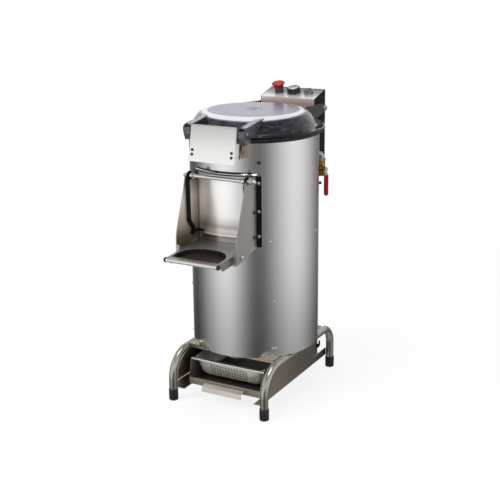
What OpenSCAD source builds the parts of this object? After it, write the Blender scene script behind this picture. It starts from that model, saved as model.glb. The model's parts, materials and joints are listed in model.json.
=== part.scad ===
// Electric potato peeler on a tubular stand, in millimetres.
// Body frame: X to the right, Y to the back, Z up, the drum's axis at x = y = 0, the floor at z = 0.
// place() moves everything from that frame to the origin under the middle of the whole machine.

/* [Stand] */
// Height of the top of the two tube hoops, which carry the drum
stand_h = 157; // [140:1:175]
// Outside diameter of the hoop tube
tube_d = 25; // [22:1:28]
// Wall of the hoop tube
tube_wall = 1.5; // [1.2:0.1:2]
// Distance between the middles of the left and right hoops
hoop_gauge = 316; // [306:1:330]
// Distance from the drum's axis forward to the front legs
front_leg = 243; // [235:1:265]
// Distance from the drum's axis back to the rear legs
rear_leg = 215; // [205:1:235]
// Bend radius of the hoop at the front, at the middle of the tube
front_bend = 78; // [60:1:90]
// Bend radius of the hoop at the back, at the middle of the tube
rear_bend = 60; // [45:1:80]
// Height of a rubber foot
foot_h = 36; // [28:1:45]
// Thickness of rubber under the tube's end
foot_sole = 6; // [4:1:10]
// Wall of a rubber foot round the tube
foot_wall = 1.8; // [1.2:0.1:3]
// Sheet thickness of the base plate, side panels and rails
stand_sheet = 2.5; // [2:0.1:3]
// Distance from the drum's axis forward to the base plate's front edge
plate_front = 157; // [145:1:165]
// Distance from the drum's axis back to the base plate's rear edge
plate_rear = 165; // [158:1:180]
// Depth of the base plate's turned-down flanges
plate_flange = 14; // [8:1:18]
// Lowest edge of the side panels above the floor
panel_z = 66; // [60:1:75]
// Distance from the drum's axis back to the side panels' rear edge
panel_rear = 148; // [130:1:155]
// Underside of the drawer rails above the floor
rail_z = 40; // [38:1:44]
// Height of a rail's upright leg
rail_h = 24; // [16:1:25]
// Width of a rail's flat leg
rail_w = 25; // [20:1:30]

/* [Drum] */
// Outside diameter of the drum shell
shell_d = 390; // [380:1:396]
// Sheet thickness of the drum shell
shell_wall = 1.5; // [1:0.1:2]
// Height of the motor space, from the stand to the chamber's floor
motor_space_h = 331; // [320:1:350]
// Height from the chamber's floor to the top of the shell
chamber_h = 324; // [300:1:345]
// Gap between the shell and the chamber's wall
chamber_gap = 15.5; // [13.5:0.5:20]
// Thickness of the chamber's wall with its abrasive lining
liner_wall = 3; // [2:0.5:4]
// Thickness of the chamber's floor
floor_t = 3; // [2:0.5:4]
// Width of the discharge opening
opening_w = 176; // [160:2:184]
// Height of the discharge opening
opening_h = 181; // [160:1:190]
// Height of the opening's sill above the chamber's floor
sill_h = 43; // [38:1:48]
// Thickness of the flat ring that closes the top of the drum
ring_t = 2; // [1.5:0.5:3]

/* [Lid] */
// How far the lid's flange overhangs the shell
lid_overhang = 17; // [14:1:20]
// Thickness of the lid's flange
lid_flange_t = 8; // [6:1:10]
// Width of the flange outside the dome
lid_brim = 26; // [22:1:29]
// How far the dome narrows from the flange to its top
lid_taper = 36; // [30:1:44]
// Height of the dome above the flange
lid_rise = 46; // [38:1:50]
// Wall of the lid's moulding
lid_wall = 4; // [3:0.5:5]
// Height of the black gasket under the flange
gasket_h = 4.7; // [4:0.1:6]
// Distance of the lid's hinge behind the column's front
hinge_inset = 39; // [37:1:43]
// Height of the lid's hinge above the flange's top
hinge_rise = 19; // [16:1:22]
// Thickness of a hinge arm
arm_t = 12; // [9:1:14]
// Radius of a hinge arm's rounded end
arm_end_r = 13; // [12:1:16]
// Distance of the latch's pivot in front of the lid's flange
latch_gap = 7; // [6:1:12]
// Thickness of a front lug
lug_t = 22; // [16:1:24]
// Radius of a front lug's nose
lug_nose_r = 17; // [14:1:19]

/* [Latch] */
// Width of the latch plate
latch_w = 150; // [140:2:156]
// Length of the latch plate from top to bottom
latch_len = 104.7; // [90:0.1:110]
// Height of the plate's top edge above the pivot, along the plate
latch_top = 16.9; // [14:0.1:22]
// Distance of the plate's front face from the pivot
latch_reach = 18.4; // [17.5:0.1:22]
// Depth of the plate's side flanges
latch_flange = 21; // [18:1:24]
// How far the plate leans out at its foot, in degrees
latch_tilt = 10.5; // [8:0.5:14]
// Sheet thickness of the latch plate
latch_sheet = 2; // [1.5:0.5:3]
// Diameter of the latch's two pivot pins
latch_pin_d = 8; // [6:1:9]

/* [Discharge chute] */
// Sheet thickness of the chute's cheeks
cheek_t = 2; // [1.5:0.5:2.5]
// Gap between the opening's edge and a cheek
cheek_gap = 10; // [9:1:12]
// How far a cheek stands forward of the shell at its foot
cheek_reach = 97; // [92:1:105]
// How far the cross rod's middle stands forward of the shell
rod_reach = 22; // [20:1:24]
// Diameter of the cross rod
rod_d = 11; // [10:1:12]
// Width of a black clamp strip
strip_w = 11; // [9:1:12]
// Sheet thickness of the door
door_t = 2; // [1.5:0.5:3]
// Thickness of a black door arm
door_arm_t = 5; // [4:0.5:5.5]

/* [Tray] */
// Half the width of the tray between its outer faces
tray_half = 86; // [80:1:87]
// Sheet thickness of the tray
tray_t = 2; // [1.5:0.5:2.5]
// Distance from the tray's pivot forward to the handle bar's middle
bar_reach = 105; // [98:1:115]
// Diameter of the handle bar
bar_d = 13; // [11:1:15]
// Depth of the tray's side flanges
tray_flange = 25; // [18:1:27]
// Slope of the tray, down to the front, in degrees
tray_slope = 3.4; // [2:0.2:4]
// Half the width of the hand hole behind the bar
hand_half = 77; // [66:1:77]
// Depth of the dark dish under the hand hole
dish_depth = 16; // [10:1:20]
// Diameter of the tray's pivot bolts
pivot_d = 8; // [6:1:9]

/* [Control column] */
// Width of the control column
column_w = 190; // [186:1:192]
// Depth of the control column
column_d = 79; // [78:1:90]
// Gap between the lid's flange and the column
column_gap = 9; // [8:1:13]
// Height of the panel's front edge above the top of the shell
column_rise = 66; // [60:1:68]
// How much the panel rises from front to back
panel_rise = 21; // [16:1:24]
// Height of the column at its front
column_h = 198; // [180:1:230]
// Sheet thickness of the column
column_sheet = 2; // [1.5:0.5:2.5]
// Diameter of the emergency stop's mushroom head
estop_d = 42; // [36:1:44]
// Diameter of the timer knob
knob_d = 42; // [34:1:44]
// Height of the timer knob
knob_h = 18; // [16:1:26]
// Diameter of the start button's bezel
bezel_d = 28; // [25:1:30]
// Spacing of the three controls along the panel
control_pitch = 52; // [48:1:52]

/* [Water] */
// Diameter of the water pipe
pipe_d = 16; // [14:1:18]
// Angle of the water valve round the drum, from the right side to the back, in degrees
valve_angle = 38; // [34:1:40]
// Gap between the shell and the valve's middle
valve_gap = 13.5; // [13:0.5:18]
// Height of the pipe's entry above the chamber's floor
pipe_rise = 243; // [225:1:250]
// Length of the valve's lever from its nut to its tip
lever_len = 81; // [70:1:92]
// Width of the lever's red sleeve
sleeve_w = 12.5; // [11.5:0.5:15]

/* [Drive] */
// Diameter of the drive shaft
shaft_d = 25; // [20:1:28]
// Thickness of the abrasive disc
disc_t = 12; // [10:1:14]
// Running gap between the disc's edge and the chamber's wall
disc_gap = 3; // [2:0.5:4]
// Outside diameter of the driven pulley
pulley_big = 150; // [130:2:154]
// Outside diameter of the motor's pulley
pulley_small = 64; // [56:2:64]
// Distance between the drive shaft and the motor's shaft
belt_centres = 112; // [112:1:122]
// Diameter of the motor
motor_d = 116; // [100:2:124]
// Height of the motor
motor_h = 170; // [140:5:180]
// Diameter of the waste duct
duct_d = 66; // [56:2:70]
// Distance from the drum's axis forward to the duct's middle
duct_front = 120; // [116:1:122]

/* [Drawer] */
// Half the width of the drawer tray
drawer_half = 127; // [122:1:134]
// Distance from the drum's axis forward to the drawer's front lip
drawer_front = 200; // [192:1:215]
// Length of the drawer from front to back
drawer_len = 350; // [330:5:360]
// Height of the drawer's side walls
drawer_h = 77; // [72:1:84]
// Height of the drawer's front lip
lip_h = 22; // [16:1:26]
// Length of the filter pan from front to back
pan_len = 318; // [300:1:320]
// Depth of the filter pan
pan_depth = 53; // [45:1:58]
// Width of the filter pan's rim
pan_rim = 5; // [4:0.5:8]
// How far the pan's walls slant inwards to its floor
pan_taper = 20; // [14:1:26]
// Diameter of the holes in the pan's front
pan_hole_d = 5.4; // [4:0.1:6]
// Width of the drawer's handle
handle_w = 136; // [100:2:160]
// How far the drawer's handle stands forward
handle_reach = 24; // [18:1:26]

/* [Hidden] */
$fn = 72;

// Clearances
run = 0.05;      // a pin turning in its bore
seat = 0.3;      // a piece resting against a curved one
slip = 0.5;      // sliding sheet metal
cut = 1;         // how far a cutting shape runs past a face
polish_r = 1;    // small edge radius

// Stand
tube_r = tube_d / 2;
hoop_x = hoop_gauge / 2;
hoop_z = stand_h - tube_r;
foot_r = tube_r + foot_wall;
inner_x = hoop_x - tube_r - 0.2;
plate_z0 = stand_h - stand_sheet;
plate_half = hoop_x - sqrt(tube_r * tube_r - pow(plate_z0 - hoop_z, 2)) - seat;

// Drum
shell_r = shell_d / 2;
shell_in = shell_r - shell_wall;
floor_z = stand_h + motor_space_h;
shell_top = floor_z + chamber_h;
ring_top = shell_top + ring_t;
liner_r = shell_in - chamber_gap;
chamber_r = liner_r - liner_wall;
sill_z = floor_z + sill_h;
head_z = sill_z + opening_h;
half_open = opening_w / 2;

// Lid
lid_flange_r = shell_r + lid_overhang;
lid_dome_r = lid_flange_r - lid_brim;
lid_top_r = lid_dome_r - lid_taper;
latch_front = lid_flange_r + latch_gap;
gasket_z = ring_top + seat;
flange_z = gasket_z + gasket_h;
flange_top = flange_z + lid_flange_t;
dome_top = flange_top + lid_rise;
hinge_z = flange_top + hinge_rise;
latch_z = flange_top + 13;
lug_in = latch_w / 2 + 2;
lug_out = lug_in + lug_t;
pin_r = latch_pin_d / 2;
hinge_pin_r = 6;

// Control column
column_front = lid_flange_r + column_gap;
hinge_back = column_front + hinge_inset;
column_back = column_front + column_d;
panel_z0 = shell_top + column_rise;
column_z0 = panel_z0 - column_h;
panel_slope = atan2(panel_rise, column_d);
control_y = column_front + column_d / 2;
control_x0 = -49;
arm_in = column_w / 2 + 3;
arm_out = arm_in + arm_t;

// Chute
cheek_in = half_open + cheek_gap;
cheek_out = cheek_in + cheek_t;
cheek_back = sqrt(shell_r * shell_r - cheek_in * cheek_in);
cheek_front = shell_r + cheek_reach;
rod_y = -(shell_r + rod_reach);
rod_z = head_z - 6;
rod_r = rod_d / 2;
strip_x = cheek_out + 1.5;
strip_t = 4;
flange_t = 2;
door_in = shell_r + 1.2;
door_out = door_in + door_t;
door_half = half_open - 2;
door_arm_out = cheek_in - 1;
door_arm_in = door_arm_out - door_arm_t;
strip_zs = [sill_z + 5, sill_z + 79, sill_z + 161];

// Tray
pivot_y = -(shell_r + 68);
pivot_z = sill_z - 34;
pivot_r = pivot_d / 2;
tray_top = 9;
tray_bottom = tray_top - tray_flange;
bar_r = bar_d / 2;
bar_cap_r = bar_r + 1;
bar_z = tray_top - bar_r + 1;
hand_r = 64;
hand_back = 2;
dish_t = 1.5;

// Water valve
valve_r = shell_r + valve_gap;
valve_x = valve_r * cos(valve_angle);
valve_y = valve_r * sin(valve_angle);
pipe_r = pipe_d / 2;
pipe_z = floor_z + pipe_rise;
elbow_r = 14;
valve_top = pipe_z - elbow_r - 11;
valve_h = 44;
valve_z0 = valve_top - valve_h;
stem_z = valve_z0 + valve_h / 2;
stem_angle = -30;
stem_len = 18.5;
inlet_r = 7.5;
hex_r = 11.5;
inlet_depth = 14;
lever_t = 3;
sleeve_t = 7;
lever_jog = 5;

// Drive
shaft_r = shaft_d / 2;
disc_z = floor_z + 12;
disc_r = chamber_r - disc_gap;
belt_z = stand_h + 34;
groove_depth = 9;
belt_h = 9;
housing_r = 32;
bearing_r = 26;
bearing_h = 16;
housing_h = 96;
motor_z = stand_h + 72;
motor_r = motor_d / 2;
rotor_r = 9.5;
duct_r = duct_d / 2;

// Drawer
drawer_z = rail_z + stand_sheet + slip;
drawer_sheet = 1.5;
drawer_top = drawer_z + drawer_h;
pan_z = drawer_top + 0.2;
pan_half = drawer_half - 1;
pan_front = drawer_front - 15;
pan_wall = 1.2;

// The whole machine's box in the body frame, which sets the origin under its middle
lever_x = valve_x + cos(stem_angle) * (stem_len + lever_jog + sleeve_t / 2)
    - sin(stem_angle) * sleeve_w / 2;
side_x = max(lid_flange_r, hoop_x + foot_r);
box_x1 = max(side_x, lever_x);
box_y0 = pivot_y - bar_reach * cos(tray_slope) - bar_z * sin(tray_slope) - bar_cap_r;
box_y1 = column_back;
mid_x = (box_x1 - side_x) / 2;
mid_y = (box_y0 + box_y1) / 2;

module place() {
    translate([-mid_x, -mid_y, 0]) children();
}

// A flat ring standing on z0, from radius r0 to r1
module ring(r0, r1, z0, h) {
    translate([0, 0, z0]) difference() {
        cylinder(r = r1, h = h);
        translate([0, 0, -cut]) cylinder(r = r0, h = h + 2 * cut);
    }
}

// A box from corner lo to corner hi
module block(lo, hi) {
    translate(lo) cube(hi - lo);
}

// A piece of the ring between two x values and two heights, in front of the drum
module front_arc(r0, r1, x0, x1, z0, z1) {
    intersection() {
        ring(r0, r1, z0, z1 - z0);
        block([x0, -r1 - cut, z0], [x1, 0, z1]);
    }
}

// A disc along X from x0 to x1, at y and z
module pin_x(r, x0, x1, y, z) {
    translate([x0, y, z]) rotate([0, 90, 0]) cylinder(r = r, h = x1 - x0);
}

// An outline in the Y-Z plane, given as [y, z] points, filled from x0 to x1
module slab_x(points, x0, x1) {
    translate([x0, 0, 0]) rotate([90, 0, 90]) linear_extrude(x1 - x0) polygon(points);
}

// Moves a shape to a point on the drum shell at an angle and a height, pointing outwards along X
module on_shell(angle, z) {
    rotate([0, 0, angle]) translate([shell_r, 0, z]) rotate([0, 90, 0]) children();
}

// ---------------------------------------------------------------- stand

// The solid path of one hoop with a given radius, in the plane of x = 0
module hoop_path(r, over) {
    front_c = -front_leg + front_bend;
    rear_c = rear_leg - rear_bend;
    foot = foot_sole - over;
    translate([0, -front_leg, foot]) cylinder(r = r, h = hoop_z - front_bend - foot);
    translate([0, rear_leg, foot]) cylinder(r = r, h = hoop_z - rear_bend - foot);
    translate([0, front_c, hoop_z - front_bend]) rotate([90, 0, -90])
        rotate_extrude(angle = 90) translate([front_bend, 0]) circle(r = r);
    translate([0, rear_c, hoop_z - rear_bend]) rotate([90, 0, 90])
        rotate_extrude(angle = 90) translate([rear_bend, 0]) circle(r = r);
    translate([0, front_c, hoop_z]) rotate([-90, 0, 0]) cylinder(r = r, h = rear_c - front_c);
}

module hoop(side) {
    place() translate([side * hoop_x, 0, 0]) difference() {
        hoop_path(tube_r, 0);
        hoop_path(tube_r - tube_wall, cut);
    }
}

module left_hoop() {
    color("#a9a59d") hoop(-1);
}

module right_hoop() {
    color("#a9a59d") hoop(1);
}

module rubber_feet() {
    color("#1b1b1c") place()
    for (x = [-hoop_x, hoop_x], y = [-front_leg, rear_leg]) translate([x, y, 0]) difference() {
        cylinder(r = foot_r, h = foot_h);
        translate([0, 0, foot_sole]) cylinder(r = tube_r + run, h = foot_h);
    }
}

module base_plate() {
    color("#b4afa6") place() difference() {
        union() {
            block([-plate_half, -plate_front, plate_z0], [plate_half, plate_rear, stand_h]);
            flange_half = inner_x - stand_sheet - slip;
            for (y = [-plate_front, plate_rear - stand_sheet])
                block([-flange_half, y, stand_h - plate_flange],
                      [flange_half, y + stand_sheet, stand_h - cut]);
        }
        translate([0, -duct_front, 0]) cylinder(r = duct_r + seat, h = stand_h + cut);
    }
}

module side_panels() {
    top = plate_z0 - 0.1;
    bend_y = -front_leg + front_bend;
    arc = [for (i = [0:8]) let (a = 180 - i * 90 / 8)
        [bend_y + front_bend * cos(a), hoop_z - front_bend + front_bend * sin(a)]];
    outline = concat(
        [[-front_leg, panel_z]], arc,
        [[-plate_front, hoop_z], [-plate_front, top], [panel_rear, top], [panel_rear, panel_z]]);
    color("#9c978d") place() for (side = [0, 1]) mirror([side, 0, 0])
        slab_x(outline, inner_x - stand_sheet, inner_x);
}

module drawer_rails() {
    y0 = -front_leg + 3;
    y1 = rear_leg - 3;
    color("#8d887e") place() for (side = [0, 1]) mirror([side, 0, 0]) {
        block([inner_x - stand_sheet, y0, rail_z], [inner_x, y1, rail_z + rail_h]);
        block([inner_x - rail_w, y0, rail_z], [inner_x - cut, y1, rail_z + stand_sheet]);
    }
}

// ---------------------------------------------------------------- drum

// The passage of the discharge opening, from inside the chamber to outside the shell
module opening_void(margin) {
    block([-half_open - margin, -shell_r - 20, sill_z - margin],
          [half_open + margin, -chamber_r / 2, head_z + margin]);
}

// The bore of the water pipe through the drum's walls
module pipe_void(r) {
    rotate([0, 0, valve_angle]) translate([chamber_r - 30, 0, pipe_z]) rotate([0, 90, 0])
        cylinder(r = r, h = 70);
}

module outer_shell() {
    color("#c9c9c8") place() difference() {
        ring(shell_in, shell_r, stand_h, shell_top - stand_h);
        opening_void(0);
        pipe_void(pipe_r + seat);
    }
}

module chamber_liner() {
    color("#3a3a3c") place() difference() {
        ring(chamber_r, liner_r, floor_z, shell_top - floor_z);
        opening_void(0);
        pipe_void(pipe_r + seat);
    }
}

module chamber_floor() {
    color("#b5b5b3") place() difference() {
        translate([0, 0, floor_z - floor_t]) cylinder(r = shell_in - seat, h = floor_t);
        translate([0, 0, floor_z - floor_t - cut]) cylinder(r = shaft_r + 8, h = floor_t + 2 * cut);
        translate([0, -duct_front, floor_z - floor_t - cut])
            cylinder(r = duct_r - 2, h = floor_t + 2 * cut);
    }
}

module top_ring() {
    color("#bdbdbb") place() ring(chamber_r, shell_r, shell_top, ring_t);
}

module opening_frame() {
    edge = 8;
    bead_x = strip_x;
    wall = 2;
    color("#d9d9d8") place() {
        // Walls of the passage between the chamber's wall and the shell
        difference() {
            intersection() {
                ring(liner_r + seat, shell_in - seat, sill_z, opening_h);
                opening_void(wall);
            }
            opening_void(0);
        }
        for (z = [sill_z - wall, head_z + 0.1]) intersection() {
            ring(liner_r + seat, shell_in - seat, z, wall - 0.1);
            opening_void(wall);
        }
        // Polished strips beside the door, and the bead over it
        for (side = [0, 1]) mirror([side, 0, 0])
            front_arc(shell_r + 0.1, shell_r + 1, half_open, half_open + edge, sill_z - 18, head_z);
        difference() {
            front_arc(shell_r + 0.1, shell_r + 5, -bead_x, bead_x, head_z + 1, head_z + 7);
            translate([0, 0, head_z + 7])
                rotate_extrude() translate([shell_r + 5, 0]) rotate(45) square(3.2, center = true);
            translate([0, 0, head_z + 1])
                rotate_extrude() translate([shell_r + 5, 0]) rotate(45) square(3.2, center = true);
        }
    }
}

// The seal over the opening, and the edge trim round the top of the shell
module drum_trims() {
    color("#151516") place() {
        front_arc(shell_r + 0.1, shell_r + 3, -strip_x, strip_x, head_z + 7.2, head_z + 10);
        ring(shell_r + 0.1, shell_r + 2.8, shell_top - 6, 6 + ring_t);
    }
}

// ---------------------------------------------------------------- chute

module cheek(side) {
    y_top = -(shell_r + 27);
    outline = [
        [-cheek_back - seat, head_z + 0.6], [y_top, head_z + 0.6], [y_top - 14, head_z - 8],
        [y_top - 26, head_z - 50], [-cheek_front + 6, sill_z + 31], [-cheek_front + 1, sill_z + 9],
        [-cheek_front, sill_z - 54], [-cheek_back - seat, sill_z - 28]
    ];
    mirror([side < 0 ? 1 : 0, 0, 0]) difference() {
        union() {
            difference() {
                slab_x(outline, cheek_in, cheek_out);
                translate([0, 0, sill_z - 60]) cylinder(r = shell_r + seat, h = opening_h + 80);
            }
            // Flange that lies on the shell, and the stop turned in at the cheek's foot
            front_arc(shell_r + seat, shell_r + seat + flange_t, cheek_in, strip_x + strip_w,
                      sill_z - 28, head_z + 0.6);
            block([tray_half + 2, -cheek_front, sill_z - 54],
                  [cheek_out - 0.5, -cheek_front + cheek_t, sill_z - 14]);
        }
        pin_x(rod_r + run, cheek_in - cut, cheek_out + cut, rod_y, rod_z);
        pin_x(pivot_r + run, cheek_in - cut, cheek_out + cut, pivot_y, pivot_z);
    }
}

module left_cheek() {
    color("#a8a39b") place() cheek(-1);
}

module right_cheek() {
    color("#a8a39b") place() cheek(1);
}

module clamp_strips() {
    r0 = shell_r + seat + flange_t + 0.1;
    color("#1d1d1f") place() for (side = [0, 1]) mirror([side, 0, 0])
        front_arc(r0, r0 + strip_t, strip_x, strip_x + strip_w, sill_z - 28, head_z + 1);
}

module cross_rod() {
    color("#d6d6d6") place() pin_x(rod_r, -cheek_out - 9, cheek_out + 19, rod_y, rod_z);
}

// A washer and a capped nut on the rod's end, from x outwards along X
module capped_nut(x, y, z) {
    difference() {
        union() {
            pin_x(8.5, x, x + 2, y, z);
            pin_x(7, x + 1.9, x + 8, y, z);
            translate([x + 8, y, z]) sphere(r = 6.2);
        }
        pin_x(rod_r + run, x - cut, x + 9 + run, y, z);
    }
}

module rod_fittings() {
    inner = tray_half - 5;
    spacer = cheek_out + 0.1;
    color("#8e8e90") place() {
        // Collars inside, capped nuts outside, and a ribbed spacer on the right
        for (side = [0, 1]) mirror([side, 0, 0]) difference() {
            pin_x(8.4, inner, door_arm_in - 0.6, rod_y, rod_z);
            pin_x(rod_r + run, inner - cut, door_arm_in, rod_y, rod_z);
        }
        difference() {
            union() {
                pin_x(8, spacer, spacer + 9.8, rod_y, rod_z);
                for (i = [0:2]) pin_x(9.2, spacer + 0.8 + i * 3.2, spacer + 2.6 + i * 3.2, rod_y, rod_z);
            }
            pin_x(rod_r + run, spacer - cut, spacer + 10, rod_y, rod_z);
        }
        capped_nut(spacer + 9.9, rod_y, rod_z);
        mirror([1, 0, 0]) capped_nut(cheek_out + 0.1, rod_y, rod_z);
    }
}

module tray_bolts() {
    color("#c4c4c2") place() for (side = [0, 1]) mirror([side, 0, 0]) {
        pin_x(pivot_r, tray_half - tray_t - 4, cheek_out + 3, pivot_y, pivot_z);
        pin_x(7.5, cheek_out + 0.1, cheek_out + 2, pivot_y, pivot_z);
        pin_x(6, cheek_out + 1.9, cheek_out + 7, pivot_y, pivot_z);
        pin_x(pivot_r + 2.5, tray_half + 0.6, cheek_in - 0.1, pivot_y, pivot_z);
    }
}

// ---------------------------------------------------------------- shell fittings

module striker_brackets() {
    x0 = latch_w / 2 + 1;
    x1 = x0 + 3;
    z0 = shell_top - 44;
    z1 = shell_top - 7;
    y_front = -(shell_r + 18);
    color("#97836f") place() for (side = [0, 1]) mirror([side, 0, 0]) difference() {
        union() {
            difference() {
                block([x0, y_front, z0], [x1, 0, z1]);
                translate([0, 0, z0 - cut]) cylinder(r = shell_r + 0.1, h = z1 - z0 + 2 * cut);
            }
            front_arc(shell_r + 0.1, shell_r + 3.1, x0 - 12, x1, z0, z1);
        }
        // Upright slot for the catch, and the notch over it
        for (z = [z0 + 13, z0 + 22]) pin_x(3.5, x0 - cut, x1 + cut, y_front + 9, z);
        block([x0 - cut, y_front + 5.5, z0 + 13], [x1 + cut, y_front + 12.5, z0 + 22]);
        block([x0 - cut, y_front + 5, z1 - 5], [x1 + cut, y_front + 13, z1 + cut]);
    }
}

// Rows of screws: round the chamber's floor, at mid height and above the stand
floor_row = floor_z + 28;
middle_row = stand_h + motor_space_h * 0.532;
foot_row = stand_h + 27;
screw_spots = [
    [-48, floor_row], [7.5, floor_row], [68, floor_row], [110, floor_row], [172, floor_row],
    [-45, middle_row], [45, middle_row], [135, middle_row], [-151, middle_row],
    [-46.5, foot_row], [-43.8, foot_row], [45, foot_row], [90, foot_row], [135, foot_row],
    [-148, foot_row]
];

// Pan-head screws that hold the shell to the parts inside it, and the bolts of the clamp strips
module shell_screws() {
    r0 = shell_r + seat + flange_t + strip_t + 0.15;
    angle = asin((strip_x + strip_w / 2) / r0);
    color("#b9b9b7") place() {
        for (s = screw_spots) on_shell(s[0], s[1]) {
            translate([0, 0, 0.05]) cylinder(r = 3.9, h = 1.2);
            translate([0, 0, 1.25]) cylinder(r1 = 3.6, r2 = 2.2, h = 1.3);
        }
        for (side = [-1, 1], z = strip_zs)
            rotate([0, 0, -90 + side * angle]) translate([r0, 0, z]) rotate([0, 90, 0]) {
                cylinder(r = 5.2, h = 1.4);
                translate([0, 0, 1.4]) cylinder(r1 = 4.6, r2 = 2.6, h = 2.8);
            }
    }
}

// The plug on the right of the latch and the stub beside the water valve
module side_studs() {
    color("#5b4540") place() {
        on_shell(-57.5, shell_top - chamber_h * 0.188) {
            translate([0, 0, 0.1]) cylinder(r = 5, h = 2.4);
            translate([0, 0, 2.4]) cylinder(r = 3.6, h = 5);
        }
        on_shell(valve_angle, pipe_z - 92) {
            translate([0, 0, 0.1]) cylinder(r = 7, h = 4, $fn = 6);
            translate([0, 0, 4]) cylinder(r = 4.5, h = 8);
        }
    }
}

// ---------------------------------------------------------------- control column

// The column's outline in the Y-Z plane, pulled in by a wall
function column_outline(w) = [
    [column_front + w, column_z0 + w], [column_back - w, column_z0 + w],
    [column_back - w, panel_z0 + panel_rise - w * 1.1], [column_front + w, panel_z0 - w * 1.1]
];

module control_column() {
    half = column_w / 2;
    s = column_sheet;
    color("#202022") place() difference() {
        slab_x(column_outline(0), -half, half);
        slab_x(column_outline(s), -half + s, half - s);
        // The stainless sheet takes the front and the top between the black sides
        block([-half + s, column_front - cut, column_z0 + s], [half - s, column_front + s, panel_z0 + cut]);
        slab_x([[column_front - cut, panel_z0 - 5], [column_back - s, panel_z0 + panel_rise - 5],
                [column_back - s, panel_z0 + panel_rise + 9], [column_front - cut, panel_z0 + 9]],
               -half + s, half - s);
        for (side = [0, 1]) mirror([side, 0, 0])
            pin_x(hinge_pin_r + run, half - s - cut, half + cut, hinge_back, hinge_z);
        translate([0, column_back - 30, column_z0 - cut]) cylinder(r = 10 + run, h = s + 2 * cut);
    }
}

// Local frame of the sloping panel: the middle of the row of controls, Z along its normal
module on_panel(x) {
    rise = (control_y - column_front) * tan(panel_slope);
    translate([x, control_y, panel_z0 + rise]) rotate([panel_slope, 0, 0]) children();
}

module control_panel() {
    half = column_w / 2 - column_sheet - 0.1;
    s = column_sheet;
    back = column_back - s - 0.1;
    outline = [
        [column_front, column_z0 + s + 0.1], [column_front + s, column_z0 + s + 0.1],
        [column_front + s, panel_z0 - s * 0.55],
        [back, panel_z0 + (back - column_front) * tan(panel_slope) - s * 1.1],
        [back, panel_z0 + (back - column_front) * tan(panel_slope)], [column_front, panel_z0]
    ];
    color("#c3beb6") place() difference() {
        slab_x(outline, -half, half);
        on_panel(control_x0) translate([0, 0, -10]) cylinder(r = 9.6, h = 20);
        on_panel(control_x0 + control_pitch) translate([0, 0, -10]) cylinder(r = 5, h = 20);
        on_panel(control_x0 + 2 * control_pitch) translate([0, 0, -10]) cylinder(r = 11, h = 20);
    }
}

module column_brackets() {
    h = 22;
    arm = column_w / 2 - 35;
    lower = column_z0 + column_h * 0.1;
    color("#a9a7a2") place() for (x = [-arm, arm], z = [lower, shell_top - h - 16]) difference() {
        block([x - 14, shell_r * 0.86, z], [x + 14, column_front - 0.1, z + h]);
        translate([0, 0, z - cut]) cylinder(r = shell_r + 0.1, h = h + 2 * cut);
        block([x - 11, shell_r * 0.86 - cut, z + 3], [x + 11, column_front - 3, z + h - 3]);
    }
}

module estop_collar() {
    color("#3c3c3f") place() on_panel(control_x0) difference() {
        union() {
            translate([0, 0, 0.1]) cylinder(r = 14, h = 1.9);
            translate([0, 0, 1.9]) cylinder(r = 12, h = 8.6);
            for (a = [0:30:330]) rotate([0, 0, a]) translate([11.2, -1, 1.9]) cube([2, 2, 8.6]);
            translate([0, 0, -14]) cylinder(r = 9.4, h = 14.2);
        }
        translate([0, 0, -15]) cylinder(r = 6.4, h = 30);
    }
}

module start_bezel() {
    color("#2a2a2d") place() on_panel(control_x0 + 2 * control_pitch) difference() {
        union() {
            translate([0, 0, 0.1]) cylinder(r = bezel_d / 2, h = 9);
            translate([0, 0, 9.1]) cylinder(r1 = bezel_d / 2, r2 = bezel_d / 2 - 1.5, h = 4.4);
            translate([0, 0, -14]) cylinder(r = 10.8, h = 14.2);
        }
        translate([0, 0, -15]) cylinder(r = 9.4, h = 30);
    }
}

module hinge_bolts() {
    half = column_w / 2;
    color("#b9b9b8") place() for (side = [0, 1]) mirror([side, 0, 0]) {
        pin_x(hinge_pin_r, half - column_sheet - 6, arm_out + 2.5, hinge_back, hinge_z);
        pin_x(arm_end_r - 3, half + 0.1, arm_in - 0.4, hinge_back, hinge_z);
        pin_x(arm_end_r - 4, arm_out + 0.4, arm_out + 2.4, hinge_back, hinge_z);
        pin_x(arm_end_r - 6, arm_out + 2.3, arm_out + 7, hinge_back, hinge_z);
        pin_x(9, half - column_sheet - 5, half - column_sheet - 0.1, hinge_back, hinge_z);
    }
}

module cable_gland() {
    color("#29292b") place() translate([0, column_back - 30, column_z0]) difference() {
        union() {
            translate([0, 0, -6]) cylinder(r = 13, h = 5.9, $fn = 6);
            translate([0, 0, -20]) cylinder(r1 = 8, r2 = 11, h = 14);
            translate([0, 0, -1]) cylinder(r = 10, h = column_sheet + 9);
        }
        translate([0, 0, -21]) cylinder(r = 5, h = 40);
    }
}

// ---------------------------------------------------------------- drive

module motor() {
    flange_h = 8;
    color("#5f6a72") place() translate([0, belt_centres, motor_z]) difference() {
        union() {
            cylinder(r = motor_r, h = flange_h);
            cylinder(r = motor_r - 6, h = motor_h - 30);
            for (a = [0:20:340]) rotate([0, 0, a])
                translate([motor_r - 8, -1.5, flange_h]) cube([7, 3, motor_h - 46]);
            translate([0, 0, motor_h - 31]) cylinder(r = motor_r - 2, h = 25);
            translate([0, 0, motor_h - 6.5]) cylinder(r1 = motor_r - 2, r2 = motor_r - 16, h = 6.5);
            translate([-26, -motor_r - 6, 50]) cube([52, 24, 46]);
        }
        translate([0, 0, -cut]) cylinder(r = rotor_r + run, h = 50);
    }
}

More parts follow.
